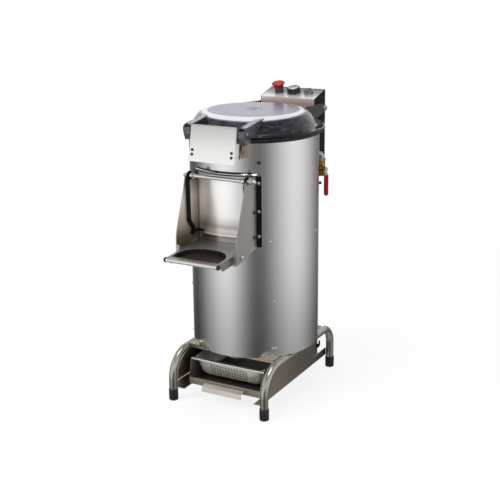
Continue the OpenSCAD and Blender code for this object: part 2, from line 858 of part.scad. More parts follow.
module motor_plate() {
    t = 5;
    color("#9b9b99") place() difference() {
        intersection() {
            translate([0, 0, motor_z - t - 0.1]) cylinder(r = shell_in - seat, h = t);
            block([-shell_r, belt_centres - motor_r - 8, 0], [shell_r, shell_r, shell_top]);
        }
        translate([0, belt_centres, motor_z - t - cut]) cylinder(r = rotor_r + 6, h = t + 2 * cut);
    }
}

module bearing_housing() {
    z1 = floor_z - floor_t - 0.1;
    color("#7d7f80") place() difference() {
        union() {
            translate([0, 0, z1 - 8]) cylinder(r = housing_r + 26, h = 8);
            translate([0, 0, z1 - housing_h]) cylinder(r = housing_r, h = housing_h);
        }
        translate([0, 0, z1 - housing_h - cut]) cylinder(r = bearing_r + run, h = housing_h + 2 * cut);
    }
}

module shaft_bearings() {
    z1 = floor_z - floor_t - 0.1;
    color("#a4a6a8") place() {
        for (z = [z1 - housing_h, z1 - bearing_h - 12]) ring(shaft_r + run, bearing_r, z, bearing_h);
        // Lip seal in the chamber's floor
        ring(shaft_r + run, shaft_r + 7.6, z1 - 11.5, 16);
    }
}

// Outline of a V-grooved pulley: half-section from the axis
module pulley(r, bore) {
    h = belt_h + 9;
    difference() {
        rotate_extrude() polygon([
            [bore, 0], [r, 0], [r, 2.6], [r - groove_depth, 4.1], [r - groove_depth, h - 4.1],
            [r, h - 2.6], [r, h], [bore, h]
        ]);
        translate([0, 0, -cut]) cylinder(r = bore, h = h + 2 * cut);
    }
}

module driven_pulley() {
    color("#6f7173") place() translate([0, 0, belt_z]) pulley(pulley_big / 2, shaft_r + run);
}

module motor_rotor() {
    h = belt_h + 9;
    color("#83868a") place() translate([0, belt_centres, belt_z]) {
        pulley(pulley_small / 2, rotor_r);
        translate([0, 0, -1]) cylinder(r = rotor_r, h = motor_z - belt_z + 46);
    }
}

module belt() {
    gap = 0.6;
    z0 = belt_z + (belt_h + 9) / 2 - belt_h / 2;
    r0 = pulley_big / 2 - groove_depth + gap;
    r1 = pulley_small / 2 - groove_depth + gap;
    t = groove_depth - 1.5;
    color("#17171a") place() translate([0, 0, z0]) linear_extrude(belt_h) difference() {
        hull() {
            circle(r = r0 + t);
            translate([0, belt_centres]) circle(r = r1 + t);
        }
        hull() {
            circle(r = r0);
            translate([0, belt_centres]) circle(r = r1);
        }
    }
}

module abrasive_disc() {
    color("#44413e") place() {
        difference() {
            union() {
                translate([0, 0, disc_z]) cylinder(r = disc_r, h = disc_t);
                // Low waves that lift and turn the potatoes
                for (a = [0, 120, 240]) rotate([0, 0, a]) translate([44, 0, disc_z + disc_t])
                    rotate([0, 90, 0]) intersection() {
                        translate([8, 0, 0]) cylinder(r = 18, h = disc_r - 56);
                        translate([-12, -20, 0]) cube([12.5, 40, disc_r - 56]);
                    }
            }
            translate([0, 0, disc_z - cut]) cylinder(r = shaft_r + run, h = disc_t + 2 * cut);
        }
    }
}

module drive_shaft() {
    color("#c2c3c4") place() {
        translate([0, 0, belt_z - 2]) cylinder(r = shaft_r, h = disc_z + disc_t - belt_z + 6);
        translate([0, 0, disc_z + disc_t + 0.1]) cylinder(r = shaft_r + 9, h = 6);
        translate([0, 0, disc_z + disc_t + 6]) cylinder(r1 = shaft_r + 9, r2 = shaft_r, h = 6);
    }
}

module waste_duct() {
    bottom = pan_z + 12;
    color("#8f9092") place() translate([0, -duct_front, 0]) {
        ring(duct_r - 2, duct_r, bottom, floor_z - floor_t - 0.1 - bottom);
        ring(duct_r - 2, duct_r + 7, floor_z - floor_t - 4.1, 4);
    }
}

// ---------------------------------------------------------------- water

module water_pipe() {
    top = valve_top + 0.1;
    entry = chamber_r - 14;
    color("#a3a19d") place() difference() {
        union() {
            rotate([0, 0, valve_angle]) {
                translate([valve_r, 0, top]) cylinder(r = pipe_r, h = pipe_z - elbow_r - top);
                translate([valve_r - elbow_r, 0, pipe_z - elbow_r]) rotate([90, 0, 0])
                    rotate_extrude(angle = 90) translate([elbow_r, 0]) circle(r = pipe_r);
                translate([entry, 0, pipe_z]) rotate([0, 90, 0])
                    cylinder(r = pipe_r, h = valve_r - elbow_r - entry);
                translate([valve_r, 0, top + 1]) cylinder(r = pipe_r + 3.5, h = 9, $fn = 6);
            }
            // Fan of the spray nozzle inside the chamber
            rotate([0, 0, valve_angle]) translate([entry + 0.1, 0, pipe_z]) rotate([0, -90, 0])
                cylinder(r1 = pipe_r, r2 = 4, h = 9);
        }
    }
}

module valve_body() {
    color("#b18a3d") place() translate([valve_x, valve_y, valve_z0]) difference() {
        union() {
            cylinder(r = hex_r, h = 11, $fn = 6);
            translate([0, 0, valve_h - 11]) cylinder(r = hex_r, h = 11, $fn = 6);
            cylinder(r = 9.8, h = valve_h);
            translate([0, 0, valve_h / 2]) sphere(r = 12);
            rotate([0, 0, stem_angle]) translate([0, 0, valve_h / 2]) rotate([0, 90, 0])
                cylinder(r = 7, h = stem_len - 3);
        }
        translate([0, 0, -cut]) cylinder(r = inlet_r, h = inlet_depth + cut);
        translate([0, 0, valve_h - 4]) cylinder(r = inlet_r, h = 4 + cut);
        rotate([0, 0, stem_angle]) translate([stem_len - 18, 0, valve_h / 2]) rotate([0, 90, 0])
            cylinder(r = 3 + run, h = 20);
    }
}

// Moves from the stem's axis frame, X outwards along the stem, to the valve
module on_stem() {
    translate([valve_x, valve_y, stem_z]) rotate([0, 0, stem_angle]) children();
}

module valve_lever() {
    width = sleeve_w - 1;
    x0 = stem_len - lever_t / 2;
    x1 = x0 + lever_jog;
    bend = 9;
    drop = 6;
    color("#c9c9c7") place() on_stem() {
        // Stem, flat strip with its jog, and the nut that holds it
        translate([stem_len - 17, 0, 0]) rotate([0, 90, 0]) cylinder(r = 3, h = 24);
        difference() {
            union() {
                translate([x0, 0, 0]) rotate([0, 90, 0]) cylinder(r = 8, h = lever_t);
                block([x0, -width / 2, -bend], [x0 + lever_t, width / 2, 0]);
            }
            translate([x0 - cut, 0, 0]) rotate([0, 90, 0]) cylinder(r = 3, h = lever_t + 2 * cut);
        }
        slab_y([[x0, -bend], [x0 + lever_t, -bend], [x1 + lever_t, -bend - drop], [x1, -bend - drop]],
               -width / 2, width / 2);
        block([x1, -sleeve_w / 2 + 1.3, -lever_len + 6],
              [x1 + lever_t, sleeve_w / 2 - 1.3, -bend - drop + 0.1]);
        difference() {
            translate([x0 + lever_t, 0, 0]) rotate([0, 90, 0]) cylinder(r = 6, h = 5, $fn = 6);
            translate([x0, 0, 0]) rotate([0, 90, 0]) cylinder(r = 3, h = 12);
        }
    }
}

// An outline in the X-Z plane, given as [x, z] points, filled from y0 to y1
module slab_y(points, y0, y1) {
    translate([0, y1, 0]) rotate([90, 0, 0]) linear_extrude(y1 - y0) polygon(points);
}

module lever_sleeve() {
    x_mid = stem_len + lever_jog;
    top = -17;
    tip = -lever_len;
    half = sleeve_w / 2;
    slot = half - 1.2;
    color("#a3182a") place() on_stem() difference() {
        union() {
            block([x_mid - sleeve_t / 2, -half, tip + half], [x_mid + sleeve_t / 2, half, top]);
            translate([x_mid - sleeve_t / 2, 0, tip + half]) rotate([0, 90, 0])
                cylinder(r = half, h = sleeve_t);
        }
        block([x_mid - lever_t / 2 - 0.1, -slot, tip + 5.9], [x_mid + lever_t / 2 + 0.1, slot, top + cut]);
    }
}

// ---------------------------------------------------------------- lid

// Half-section of the dome's outside, from the axis out to the flange, at a distance inside it
function dome_section(w) = let (
        top = dome_top - w,
        fillet = 14,
        r_in = lid_top_r - w,
        arc = [for (i = [0:3]) let (a = 90 - i * 12)
            [r_in - fillet + fillet * cos(a), top - fillet + fillet * sin(a)]]
    ) concat([[0, flange_z - (w > 0 ? cut : 0)], [0, top]], arc,
             [[lid_top_r + 15 - w, dome_top - 11 - w * 0.8], [lid_top_r + 27 - w, dome_top - 25 - w / 2],
              [lid_dome_r - w, flange_top + 2], [lid_dome_r - w, flange_z - (w > 0 ? cut : 0)]]);

module lid() {
    edge = 3;
    nose_y = -latch_front;
    lug = [
        [nose_y, latch_z + lug_nose_r], [25 - lid_top_r, dome_top - 8], [54 - lid_top_r, dome_top - 8],
        [54 - lid_top_r, flange_top - 2],
        [-sqrt(pow(lid_flange_r - 6, 2) - lug_in * lug_in), flange_top - 2], [nose_y + 14, latch_z - 20],
        [nose_y, latch_z - 20]
    ];
    arm = [
        [lid_top_r - 54, flange_top - 2], [lid_top_r - 54, dome_top - 11], [lid_top_r - 24, dome_top - 3],
        [hinge_back, hinge_z + arm_end_r], [hinge_back, hinge_z - arm_end_r],
        [lid_flange_r - 3, flange_top - 4], [lid_dome_r - 6, flange_top - 2]
    ];
    color("#5b5560", 0.55) place() difference() {
        union() {
            rotate_extrude() polygon(dome_section(0));
            rotate_extrude() polygon([
                [0, flange_z], [0, flange_top], [lid_flange_r - edge, flange_top],
                [lid_flange_r, flange_top - edge], [lid_flange_r, flange_z + 1], [lid_flange_r - 1, flange_z]
            ]);
            for (side = [0, 1]) mirror([side, 0, 0]) {
                slab_x(lug, lug_in, lug_out);
                pin_x(lug_nose_r, lug_in, lug_out, nose_y, latch_z);
                pin_x(12, lug_in, lug_out, nose_y + 2, latch_z - 18);
                slab_x(arm, arm_in, arm_out);
                pin_x(arm_end_r, arm_in, arm_out, hinge_back, hinge_z);
                // Grip ribs along the top of the lug
                for (i = [0:8]) translate([lug_in + 1, nose_y + 8 + i * 10, latch_z + lug_nose_r - 1])
                    rotate([5, 0, 0]) cube([lug_t - 2, 4, 3 + i * 0.08]);
            }
        }
        rotate_extrude() polygon(dome_section(lid_wall));
        for (side = [0, 1]) mirror([side, 0, 0]) {
            pin_x(pin_r + run, lug_in - cut, lug_out + cut, nose_y, latch_z);
            pin_x(hinge_pin_r + run, arm_in - cut, arm_out + cut, hinge_back, hinge_z);
        }
    }
}

module lid_gasket() {
    color("#141415") place() ring(chamber_r + 6, lid_flange_r, gasket_z, gasket_h - 0.1);
}

// ---------------------------------------------------------------- latch

// Local frame of the latch: the pivot's axis along X, the plate upright in front of it
module on_latch() {
    translate([0, -latch_front, latch_z]) rotate([-latch_tilt, 0, 0]) children();
}

module latch_plate() {
    half = latch_w / 2;
    foot = latch_top - latch_len;
    back = latch_flange - latch_reach;
    color("#c8c8c6") place() on_latch() difference() {
        union() {
            block([-half, -latch_reach, foot], [half, -latch_reach + latch_sheet, latch_top]);
            for (side = [0, 1]) mirror([side, 0, 0]) {
                block([half - latch_sheet, -latch_reach, foot], [half, back, latch_top]);
                pin_x(9, half - latch_sheet, half, 0, 0);
            }
            block([-half, -latch_reach, latch_top - latch_sheet], [half, -latch_reach + 12, latch_top]);
        }
        pin_x(pin_r + run, -half - cut, half + cut, 0, 0);
        for (side = [-1, 1], z = [-55, -68]) translate([side * (half - 11), -latch_reach - cut, z])
            rotate([-90, 0, 0]) cylinder(r = 2.5 + run, h = latch_sheet + 2 * cut);
    }
}

module latch_hooks() {
    half = latch_w / 2;
    y0 = -latch_reach + latch_sheet + 0.1;
    color("#a9a9a7") place() on_latch() for (side = [0, 1]) mirror([side, 0, 0]) difference() {
        union() {
            block([half - 17, y0, -76], [half - latch_sheet - 0.4, y0 + 2.5, -46]);
            slab_x([[y0, -74], [y0 + 30, -74], [y0 + 36, -66], [y0 + 30, -58], [y0 + 25, -66], [y0, -60]],
                   half - latch_sheet - 3.4, half - latch_sheet - 0.4);
        }
        for (z = [-55, -68]) translate([half - 11, y0 - cut, z])
            rotate([-90, 0, 0]) cylinder(r = 2.5 + run, h = 4.5);
    }
}

module latch_bolts() {
    half = latch_w / 2;
    color("#4d4d4f") place() on_latch() for (side = [-1, 1], z = [-55, -68])
        translate([side * (half - 11), -latch_reach, z]) rotate([-90, 0, 0]) {
            cylinder(r = 2.5, h = latch_sheet + 3.9);
            translate([0, 0, -2.4]) cylinder(r1 = 3.2, r2 = 4.4, h = 2.3);
            translate([0, 0, latch_sheet + 2.7]) cylinder(r = 4, h = 3, $fn = 6);
        }
}

module latch_pins() {
    half = latch_w / 2;
    color("#d2d2d0") place() for (side = [0, 1]) mirror([side, 0, 0]) {
        pin_x(pin_r, half - latch_sheet - 3, lug_out + 1, -latch_front, latch_z);
        pin_x(pin_r + 2.5, half - latch_sheet - 5, half - latch_sheet - 0.4, -latch_front, latch_z);
    }
}

// ---------------------------------------------------------------- door

module door_panel() {
    z1 = head_z - 1.5;
    color("#dededd") place() {
        front_arc(door_in, door_out, -door_half, door_half, sill_z, z1);
        // Turned-out lips at the foot and the top
        front_arc(door_in, door_out + 4, -door_half, door_half, sill_z, sill_z + 2);
        front_arc(door_in, door_out + 2.5, -door_half, door_half, z1 - 2, z1);
    }
}

module door_seal() {
    m = 4;
    color("#232324") place() difference() {
        front_arc(shell_in - 3, door_in - 0.1, -door_half + m, door_half - m, sill_z + m, head_z - 14);
        front_arc(shell_in - 9, door_in + 2, -door_half + m + 9, door_half - m - 9,
                  sill_z + m + 9, head_z - 23);
    }
}

module door_arms() {
    top = rod_z;
    foot = sill_z + 2;
    y0 = rod_y;
    color("#161617") place() for (side = [0, 1]) mirror([side, 0, 0]) difference() {
        union() {
            pin_x(13, door_arm_in, door_arm_out, y0, top);
            slab_x([[y0 + 9, top + 9], [y0 - 9, top + 9], [y0 - 18, top - 12], [y0 - 15, sill_z + 41],
                    [y0 + 5, sill_z + 17], [y0 + 6, sill_z - 3], [y0 + 18, sill_z - 3], [y0 + 19, foot],
                    [y0 + 41, foot], [y0 + 41, foot + 5], [y0 + 19, foot + 5], [y0 + 18, sill_z + 21],
                    [y0 - 1, sill_z + 44], [y0 - 3, top - 14], [y0 + 9, top - 8]],
                   door_arm_in, door_arm_out);
            // Pad from the arm's foot round the door's edge
            front_arc(door_out + 0.1, door_out + 3.1, door_half - 16, door_arm_in + 1, foot + 0.1, foot + 6);
        }
        pin_x(rod_r + run, door_arm_in - cut, door_arm_out + cut, y0, top);
        translate([0, 0, foot - cut]) cylinder(r = door_out + 0.1, h = 26);
    }
}

// ---------------------------------------------------------------- tray

// Local frame of the tray: the pivot's axis along X, the plate sloping down to the front
module on_tray() {
    translate([0, pivot_y, pivot_z]) rotate([tray_slope, 0, 0]) children();
}

// Outline of the hand hole behind the bar, pulled in by w: square at the bar, round at the back
module hand_outline(w) {
    front = -bar_reach + bar_r + 9.3 + w;
    back = hand_back - w;
    half = hand_half - w;
    r = hand_r - w;
    intersection() {
        union() {
            translate([-half, front]) square([2 * half, back - r - front]);
            translate([-(half - r), front]) square([2 * (half - r), back - front]);
            for (s = [-1, 1]) translate([s * (half - r), back - r]) circle(r = r);
        }
        translate([-half, front]) square([2 * half, back - front]);
    }
}

module tray_plate() {
    front = -bar_reach + bar_r + 0.3;
    rear = 90;
    flange = [
        [front + 2, tray_top - 0.5], [front + 4, tray_top - 8], [front + 16, tray_bottom], [52, tray_bottom],
        [74, tray_top - 10], [74, tray_top - 0.5]
    ];
    color("#8a8781") place() difference() {
        on_tray() difference() {
            union() {
                block([-tray_half, front, tray_top - tray_t], [tray_half, rear, tray_top]);
                for (side = [0, 1]) mirror([side, 0, 0]) {
                    slab_x(flange, tray_half - tray_t, tray_half);
                    pin_x(pivot_r + 4, tray_half - tray_t - 2, tray_half, 0, 0);
                }
            }
            translate([0, 0, tray_top - tray_t - cut]) linear_extrude(tray_t + 2 * cut) hand_outline(0);
            pin_x(pivot_r + run, -tray_half - cut, tray_half + cut, 0, 0);
        }
        translate([0, 0, sill_z - 90]) cylinder(r = shell_r + 2.5, h = 120);
    }
}

// Black dish that hangs in the hand hole
module tray_dish() {
    floor = tray_top - dish_depth;
    color("#1c1a19") place() on_tray() difference() {
        translate([0, 0, floor]) linear_extrude(dish_depth - 0.3) hand_outline(0.2);
        translate([0, 0, floor + dish_t]) linear_extrude(dish_depth) hand_outline(0.2 + dish_t);
    }
}

module tray_bar() {
    color("#e2e2e1") place() on_tray() pin_x(bar_r, -tray_half + 3, tray_half - 3, -bar_reach, bar_z);
}

module bar_caps() {
    color("#77777a") place() on_tray() for (side = [0, 1]) mirror([side, 0, 0]) {
        pin_x(bar_cap_r, tray_half - 2.9, tray_half + 2, -bar_reach, bar_z);
        pin_x(bar_cap_r - 2, tray_half + 2, tray_half + 5, -bar_reach, bar_z);
    }
}

// ---------------------------------------------------------------- controls

module estop_button() {
    r = estop_d / 2;
    color("#b3202a") place() on_panel(control_x0) {
        translate([0, 0, -10]) cylinder(r = 6, h = 26);
        translate([0, 0, 15]) cylinder(r1 = 13.8, r2 = 14.8, h = 7.5);
        translate([0, 0, 22.5]) cylinder(r1 = 14.8, r2 = r, h = 4.5);
        translate([0, 0, 27]) cylinder(r = r, h = 2);
        translate([0, 0, 29]) cylinder(r1 = r, r2 = r - 3, h = 2);
    }
}

module timer_knob() {
    r = knob_d / 2;
    color("#2b2b2e") place() on_panel(control_x0 + control_pitch) {
        translate([0, 0, -8]) cylinder(r = 4, h = 10);
        translate([0, 0, 1]) cylinder(r1 = r + 0.5, r2 = r - 0.5, h = knob_h - 3);
        translate([0, 0, knob_h - 2]) cylinder(r1 = r - 0.5, r2 = r - 2, h = 2);
        translate([-1, r - 8, knob_h - 0.1]) cube([2, 6, 1.1]);
    }
}

module start_button() {
    color("#7d9a88") place() on_panel(control_x0 + 2 * control_pitch) {
        translate([0, 0, -8]) cylinder(r = 9, h = 22.5);
        translate([0, 0, 14.5]) cylinder(r1 = 9, r2 = 7.6, h = 1.6);
    }
}

// ---------------------------------------------------------------- drawer

module drawer_tray() {
    s = drawer_sheet;
    y0 = -drawer_front;
    y1 = y0 + drawer_len;
    side_outline = [
        [y0, drawer_z], [y1, drawer_z], [y1, drawer_top], [y0 + 13, drawer_top], [y0, drawer_z + lip_h]
    ];
    half = handle_w / 2;
    grip_z = drawer_z + 14;
    grip_y = y0 - handle_reach;
    color("#918c83") place() {
        block([-drawer_half, y0, drawer_z], [drawer_half, y1, drawer_z + s]);
        for (side = [0, 1]) mirror([side, 0, 0]) slab_x(side_outline, drawer_half - s, drawer_half);
        block([-drawer_half, y1 - s, drawer_z], [drawer_half, y1, drawer_top]);
        block([-drawer_half, y0, drawer_z], [drawer_half, y0 + s, drawer_z + lip_h]);
        // Bent strip that serves as the handle
        slab_x([[y0 + 0.5, grip_z], [y0 + 0.5, grip_z + 2], [grip_y + 1.5, grip_z - 5], [grip_y, grip_z - 6],
                [grip_y, grip_z - 21], [grip_y + 2, grip_z - 21], [grip_y + 2, grip_z - 7]], -half, half);
    }
}

// A slab with rounded corners, centred in X, from y0 to y1
module round_plan(half, y0, y1, r, z, h) {
    for (x = [-half + r, half - r], y = [y0 + r, y1 - r]) translate([x, y, z])
        cylinder(r = r, h = h, $fn = 32);
}

// The pan's bowl pulled in by a wall and lifted off its floor: steep walls and a turned bottom edge
module pan_solid(wall, lift, over) {
    half = pan_half - pan_rim - wall;
    y0 = -pan_front + pan_rim + wall;
    y1 = -pan_front + pan_len - pan_rim - wall;
    knee = pan_taper * 0.6;
    z0 = pan_z - pan_depth + lift;
    hull() {
        round_plan(half, y0, y1, 28 - wall, pan_z - 0.5 + over, 0.5);
        round_plan(half - knee, y0 + knee, y1 - knee, 26 - wall, z0 + 9, 0.5);
        round_plan(half - pan_taper, y0 + pan_taper, y1 - pan_taper, 24 - wall, z0, 0.5);
    }
}

module filter_pan() {
    y0 = -pan_front;
    y1 = y0 + pan_len;
    pitch = 10;
    color("#a7a49e") place() difference() {
        union() {
            hull() round_plan(pan_half, y0, y1, 30, pan_z, pan_wall);
            pan_solid(0, 0, 0);
        }
        pan_solid(pan_wall, pan_wall, 4);
        for (i = [-6:6], j = [0:3])
            translate([i * pitch, y0 + pan_rim - cut, pan_z - 15 - j * 8.4]) rotate([-90, 0, 0])
                cylinder(r = pan_hole_d / 2, h = 20, $fn = 16);
    }
}

left_hoop();
right_hoop();
rubber_feet();
base_plate();
side_panels();
drawer_rails();
outer_shell();
chamber_liner();
chamber_floor();
top_ring();
opening_frame();
drum_trims();
left_cheek();
right_cheek();
clamp_strips();
cross_rod();
rod_fittings();
tray_bolts();
striker_brackets();
shell_screws();
side_studs();
control_column();
control_panel();
column_brackets();
estop_collar();
start_bezel();
hinge_bolts();
motor();
motor_plate();
bearing_housing();
shaft_bearings();
belt();
waste_duct();
water_pipe();
valve_body();
cable_gland();
lid();
lid_gasket();
latch_plate();
latch_hooks();
latch_bolts();
latch_pins();
door_panel();
door_arms();
door_seal();
tray_plate();
tray_dish();
tray_bar();
bar_caps();
estop_button();
timer_knob();
start_button();
valve_lever();
lever_sleeve();
abrasive_disc();
drive_shaft();
driven_pulley();
motor_rotor();
drawer_tray();
filter_pan();
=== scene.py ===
"""Looks of an electric potato peeler: every finish and the shaped pieces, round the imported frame.

The frame gives each part's place. A class for each sub-assembly dresses its nodes, and puts a
detailed piece in the place of a node where the plain solid lacks its real edges and curves.
Lengths in the classes are millimetres in the drum's own frame: the drum's axis at x = y = 0,
X to the machine's right, Y to its back, Z up from the floor.
"""

import json
import logging
import math
from collections.abc import Iterator, Sequence
from contextlib import contextmanager
from dataclasses import dataclass, field
from enum import Enum

import bmesh
import bpy
import numpy as np
from mathutils import Matrix, Vector

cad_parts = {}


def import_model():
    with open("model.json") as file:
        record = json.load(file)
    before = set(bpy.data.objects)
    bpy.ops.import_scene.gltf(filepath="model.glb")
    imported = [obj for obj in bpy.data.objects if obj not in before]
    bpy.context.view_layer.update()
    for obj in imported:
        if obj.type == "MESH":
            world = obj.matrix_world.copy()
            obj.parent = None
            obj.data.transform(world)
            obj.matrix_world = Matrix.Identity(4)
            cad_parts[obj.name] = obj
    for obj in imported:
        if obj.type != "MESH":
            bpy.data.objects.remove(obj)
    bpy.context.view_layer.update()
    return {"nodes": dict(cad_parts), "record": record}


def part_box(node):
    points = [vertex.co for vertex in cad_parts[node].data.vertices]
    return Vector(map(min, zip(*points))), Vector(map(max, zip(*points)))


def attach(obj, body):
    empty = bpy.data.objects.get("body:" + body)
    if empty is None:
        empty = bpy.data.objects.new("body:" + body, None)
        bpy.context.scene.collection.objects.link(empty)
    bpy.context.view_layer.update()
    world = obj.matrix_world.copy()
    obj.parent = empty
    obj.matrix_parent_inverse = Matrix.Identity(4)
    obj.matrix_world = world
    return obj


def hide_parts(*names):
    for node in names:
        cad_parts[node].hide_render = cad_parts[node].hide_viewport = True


Socket = bpy.types.NodeSocket

LOG = logging.getLogger("peeler")
MM = 0.001
TIP = 0.001  # mm: a turned outline ends this far from its axis
SEAT = 0.1  # mm: how far a fastener lies off, or in, the face it is seated on


# ------------------------------------------------------------------ surfaces as arrays

@dataclass
class Skin:
    """A surface: its points in millimetres in the drum's frame, and its faces as point numbers."""

    points: np.ndarray
    faces: list[Sequence[int]]

    def __add__(self, other: "Skin") -> "Skin":
        """Puts two surfaces in one mesh."""
        return joined([self, other])

    def placed(self, at: Sequence[float], axes: np.ndarray | None = None) -> "Skin":
        """Turns the surface, then moves it.

        Args:
            at: where the surface's origin goes.
            axes: three rows, the directions that its X, Y and Z take. None leaves it unturned.

        Returns:
            The placed surface. A point is its X, Y and Z times the three rows, plus the place.
        """
        turned = self.points if axes is None else self.points @ np.asarray(axes, float)
        return Skin(turned + np.asarray(at, float), self.faces)

    def mirrored(self) -> "Skin":
        """Gives the surface's mirror image in the machine's middle plane, x = 0."""
        return Skin(self.points * (-1.0, 1.0, 1.0), [list(reversed(face)) for face in self.faces])

    def both(self) -> "Skin":
        """Gives the surface and its mirror image in one mesh."""
        return self + self.mirrored()


def joined(skins: Sequence[Skin]) -> Skin:
    """Puts several surfaces in one mesh.

    Args:
        skins: the surfaces.

    Returns:
        The surface of them all.
    """
    starts = np.cumsum([0] + [len(skin.points) for skin in skins]).tolist()
    faces = [[i + start for i in face] for skin, start in zip(skins, starts) for face in skin.faces]
    return Skin(np.vstack([skin.points for skin in skins]), faces)


def axes_along(direction: Sequence[float]) -> np.ndarray:
    """Gives three square axes whose Z lies along a level direction, and whose Y points up.

    Args:
        direction: where the local Z axis points.

    Returns:
        Three rows for Skin.placed: X is the upright cross Z made one long, and Y is Z cross X.
    """
    z = np.asarray(direction, float)
    z = z / np.linalg.norm(z)
    x = np.cross((0.0, 0.0, 1.0), z)
    x = x / np.linalg.norm(x)
    return np.array([x, np.cross(z, x), z])


def tilted(degrees: float) -> np.ndarray:
    """Gives the three rows for Skin.placed that turn a surface about the X axis."""
    c, s = math.cos(math.radians(degrees)), math.sin(math.radians(degrees))
    return np.array([[1, 0, 0], [0, c, s], [0, -s, c]])


TO_RIGHT, TO_REAR, TO_FRONT = (axes_along(way) for way in ((1, 0, 0), (0, 1, 0), (0, -1, 0)))


def patch(points: np.ndarray, loop_rows: bool = False, loop_columns: bool = False) -> Skin:
    """Makes quads between the points of a grid.

    Args:
        points: rows by columns by 3. Rows run outwards or upwards, columns run to the left of them.
        loop_rows: the last row joins the first.
        loop_columns: the last column joins the first.

    Returns:
        The surface: quad (i, j) joins point (i, j) with its next neighbours in both directions.
    """
    rows, columns = points.shape[:2]
    i = np.arange(rows if loop_rows else rows - 1)[:, None]
    j = np.arange(columns if loop_columns else columns - 1)[None, :]
    below, above = i * columns, ((i + 1) % rows) * columns
    here, there = j, (j + 1) % columns
    quads = np.stack([below + here, below + there, above + there, above + here], -1).reshape(-1, 4)
    return Skin(points.reshape(-1, 3).astype(float), quads.tolist())


def angles(steps: int) -> np.ndarray:
    """Gives evenly spaced angles round a circle, in radians from 0."""
    return np.linspace(0, 2 * np.pi, steps, endpoint=False)


def turned(rings: Sequence[tuple], angle: np.ndarray, ring: bool = False) -> Skin:
    """Stacks rings of points round the Z axis.

    Args:
        rings: each ring's radius, one number or one for each angle, and its height.
        angle: the angles of the points.
        ring: the last ring joins the first.

    Returns:
        The surface: at angle a, a ring's point lies at (r cos a, r sin a, height).
    """
    points = np.stack([np.stack([radius * np.cos(angle), radius * np.sin(angle),
                                 0 * angle + height], -1) for radius, height in rings])
    return patch(points, loop_rows=ring, loop_columns=True)


def lathe(profile: Sequence[tuple[float, float]], steps: int, ring: bool = False) -> Skin:
    """Turns a profile of radius and height round the Z axis, from the bottom outwards and up.

    Args:
        profile: the points of radius and height.
        steps: how many copies of the profile stand round the axis.
        ring: the profile is a closed loop that doesn't touch the axis.

    Returns:
        The surface.
    """
    return turned(profile, angles(steps), ring)


def sweep(profile: np.ndarray, path: np.ndarray, side: Sequence[float], loop: bool = False) -> Skin:
    """Carries a closed profile along a path that lies in one plane.

    Args:
        profile: points (a, b): a along the plane's normal, b across the path in the plane.
        path: the path's points.
        side: the plane's normal.
        loop: the path is a closed loop. If not, both ends get a flat face.

    Returns:
        The surface: point (i, j) is path i + a * normal + b * (tangent cross normal).
    """
    normal = np.asarray(side, float) / np.linalg.norm(side)
    if loop:
        tangent = np.roll(path, -1, axis=0) - np.roll(path, 1, axis=0)
    else:
        tangent = np.gradient(path, axis=0)
    tangent = tangent / np.linalg.norm(tangent, axis=1, keepdims=True)
    across = np.cross(tangent, normal)
    points = (path[:, None] + profile[None, :, :1] * normal
              + profile[None, :, 1:2] * across[:, None])
    skin = patch(points, loop_rows=loop, loop_columns=True)
    if not loop:
        count, last = len(profile), (len(path) - 1) * len(profile)
        skin.faces += [list(range(count))[::-1], list(range(last, last + count))]
    return skin


def circle(radius: float, steps: int) -> np.ndarray:
    """Gives the points (r cos a, r sin a) of a circle."""
    angle = angles(steps)
    return np.stack([radius * np.cos(angle), radius * np.sin(angle)], -1)


def arc(centre: Sequence[float], radius: float, start: float, end: float,
        steps: int) -> np.ndarray:
    """Gives the points of an arc in a plane, from one angle to another in degrees."""
    angle = np.radians(np.linspace(start, end, steps))
    return np.stack([centre[0] + radius * np.cos(angle), centre[1] + radius * np.sin(angle)], -1)


def rounded(corners: Sequence[Sequence[float]], radii: float | Sequence[float], steps: int,
            closed: bool = True) -> np.ndarray:
    """Rounds the corners of an outline in a plane.

    Args:
        corners: the outline's corners.
        radii: the radius of each corner, or one for all of them.
        steps: points in each rounded corner.
        closed: whether the outline closes. If not, its two ends stay sharp.

    Returns:
        The outline's points. A corner of radius r starts and ends r / tan(half its angle) from the
        corner, and follows the circle that touches both sides there.
    """
    points = np.asarray(corners, float)
    size = np.broadcast_to(np.asarray(radii, float), (len(points),))
    pieces = []
    for index, (corner, radius) in enumerate(zip(points, size)):
        if radius <= 0 or (not closed and index in (0, len(points) - 1)):
            pieces.append(corner[None])
            continue
        back = points[index - 1] - corner
        ahead = points[(index + 1) % len(points)] - corner
        back, ahead = back / np.linalg.norm(back), ahead / np.linalg.norm(ahead)
        half = math.acos(float(np.clip(back @ ahead, -1, 1))) / 2
        middle = (back + ahead) / np.linalg.norm(back + ahead)
        centre = corner + middle * radius / math.sin(half)
        first, last = (corner + way * radius / math.tan(half) - centre for way in (back, ahead))
        share = np.linspace(0, 1, steps)[:, None]
        bend = math.pi - 2 * half
        blend = (np.sin((1 - share) * bend) * first + np.sin(share * bend) * last) / math.sin(bend)
        pieces.append(centre + blend)
    return np.vstack(pieces)


def box_outline(left: float, right: float, low: float, high: float) -> np.ndarray:
    """Gives the four corners of an upright rectangle."""
    return np.array([(left, low), (right, low), (right, high), (left, high)])


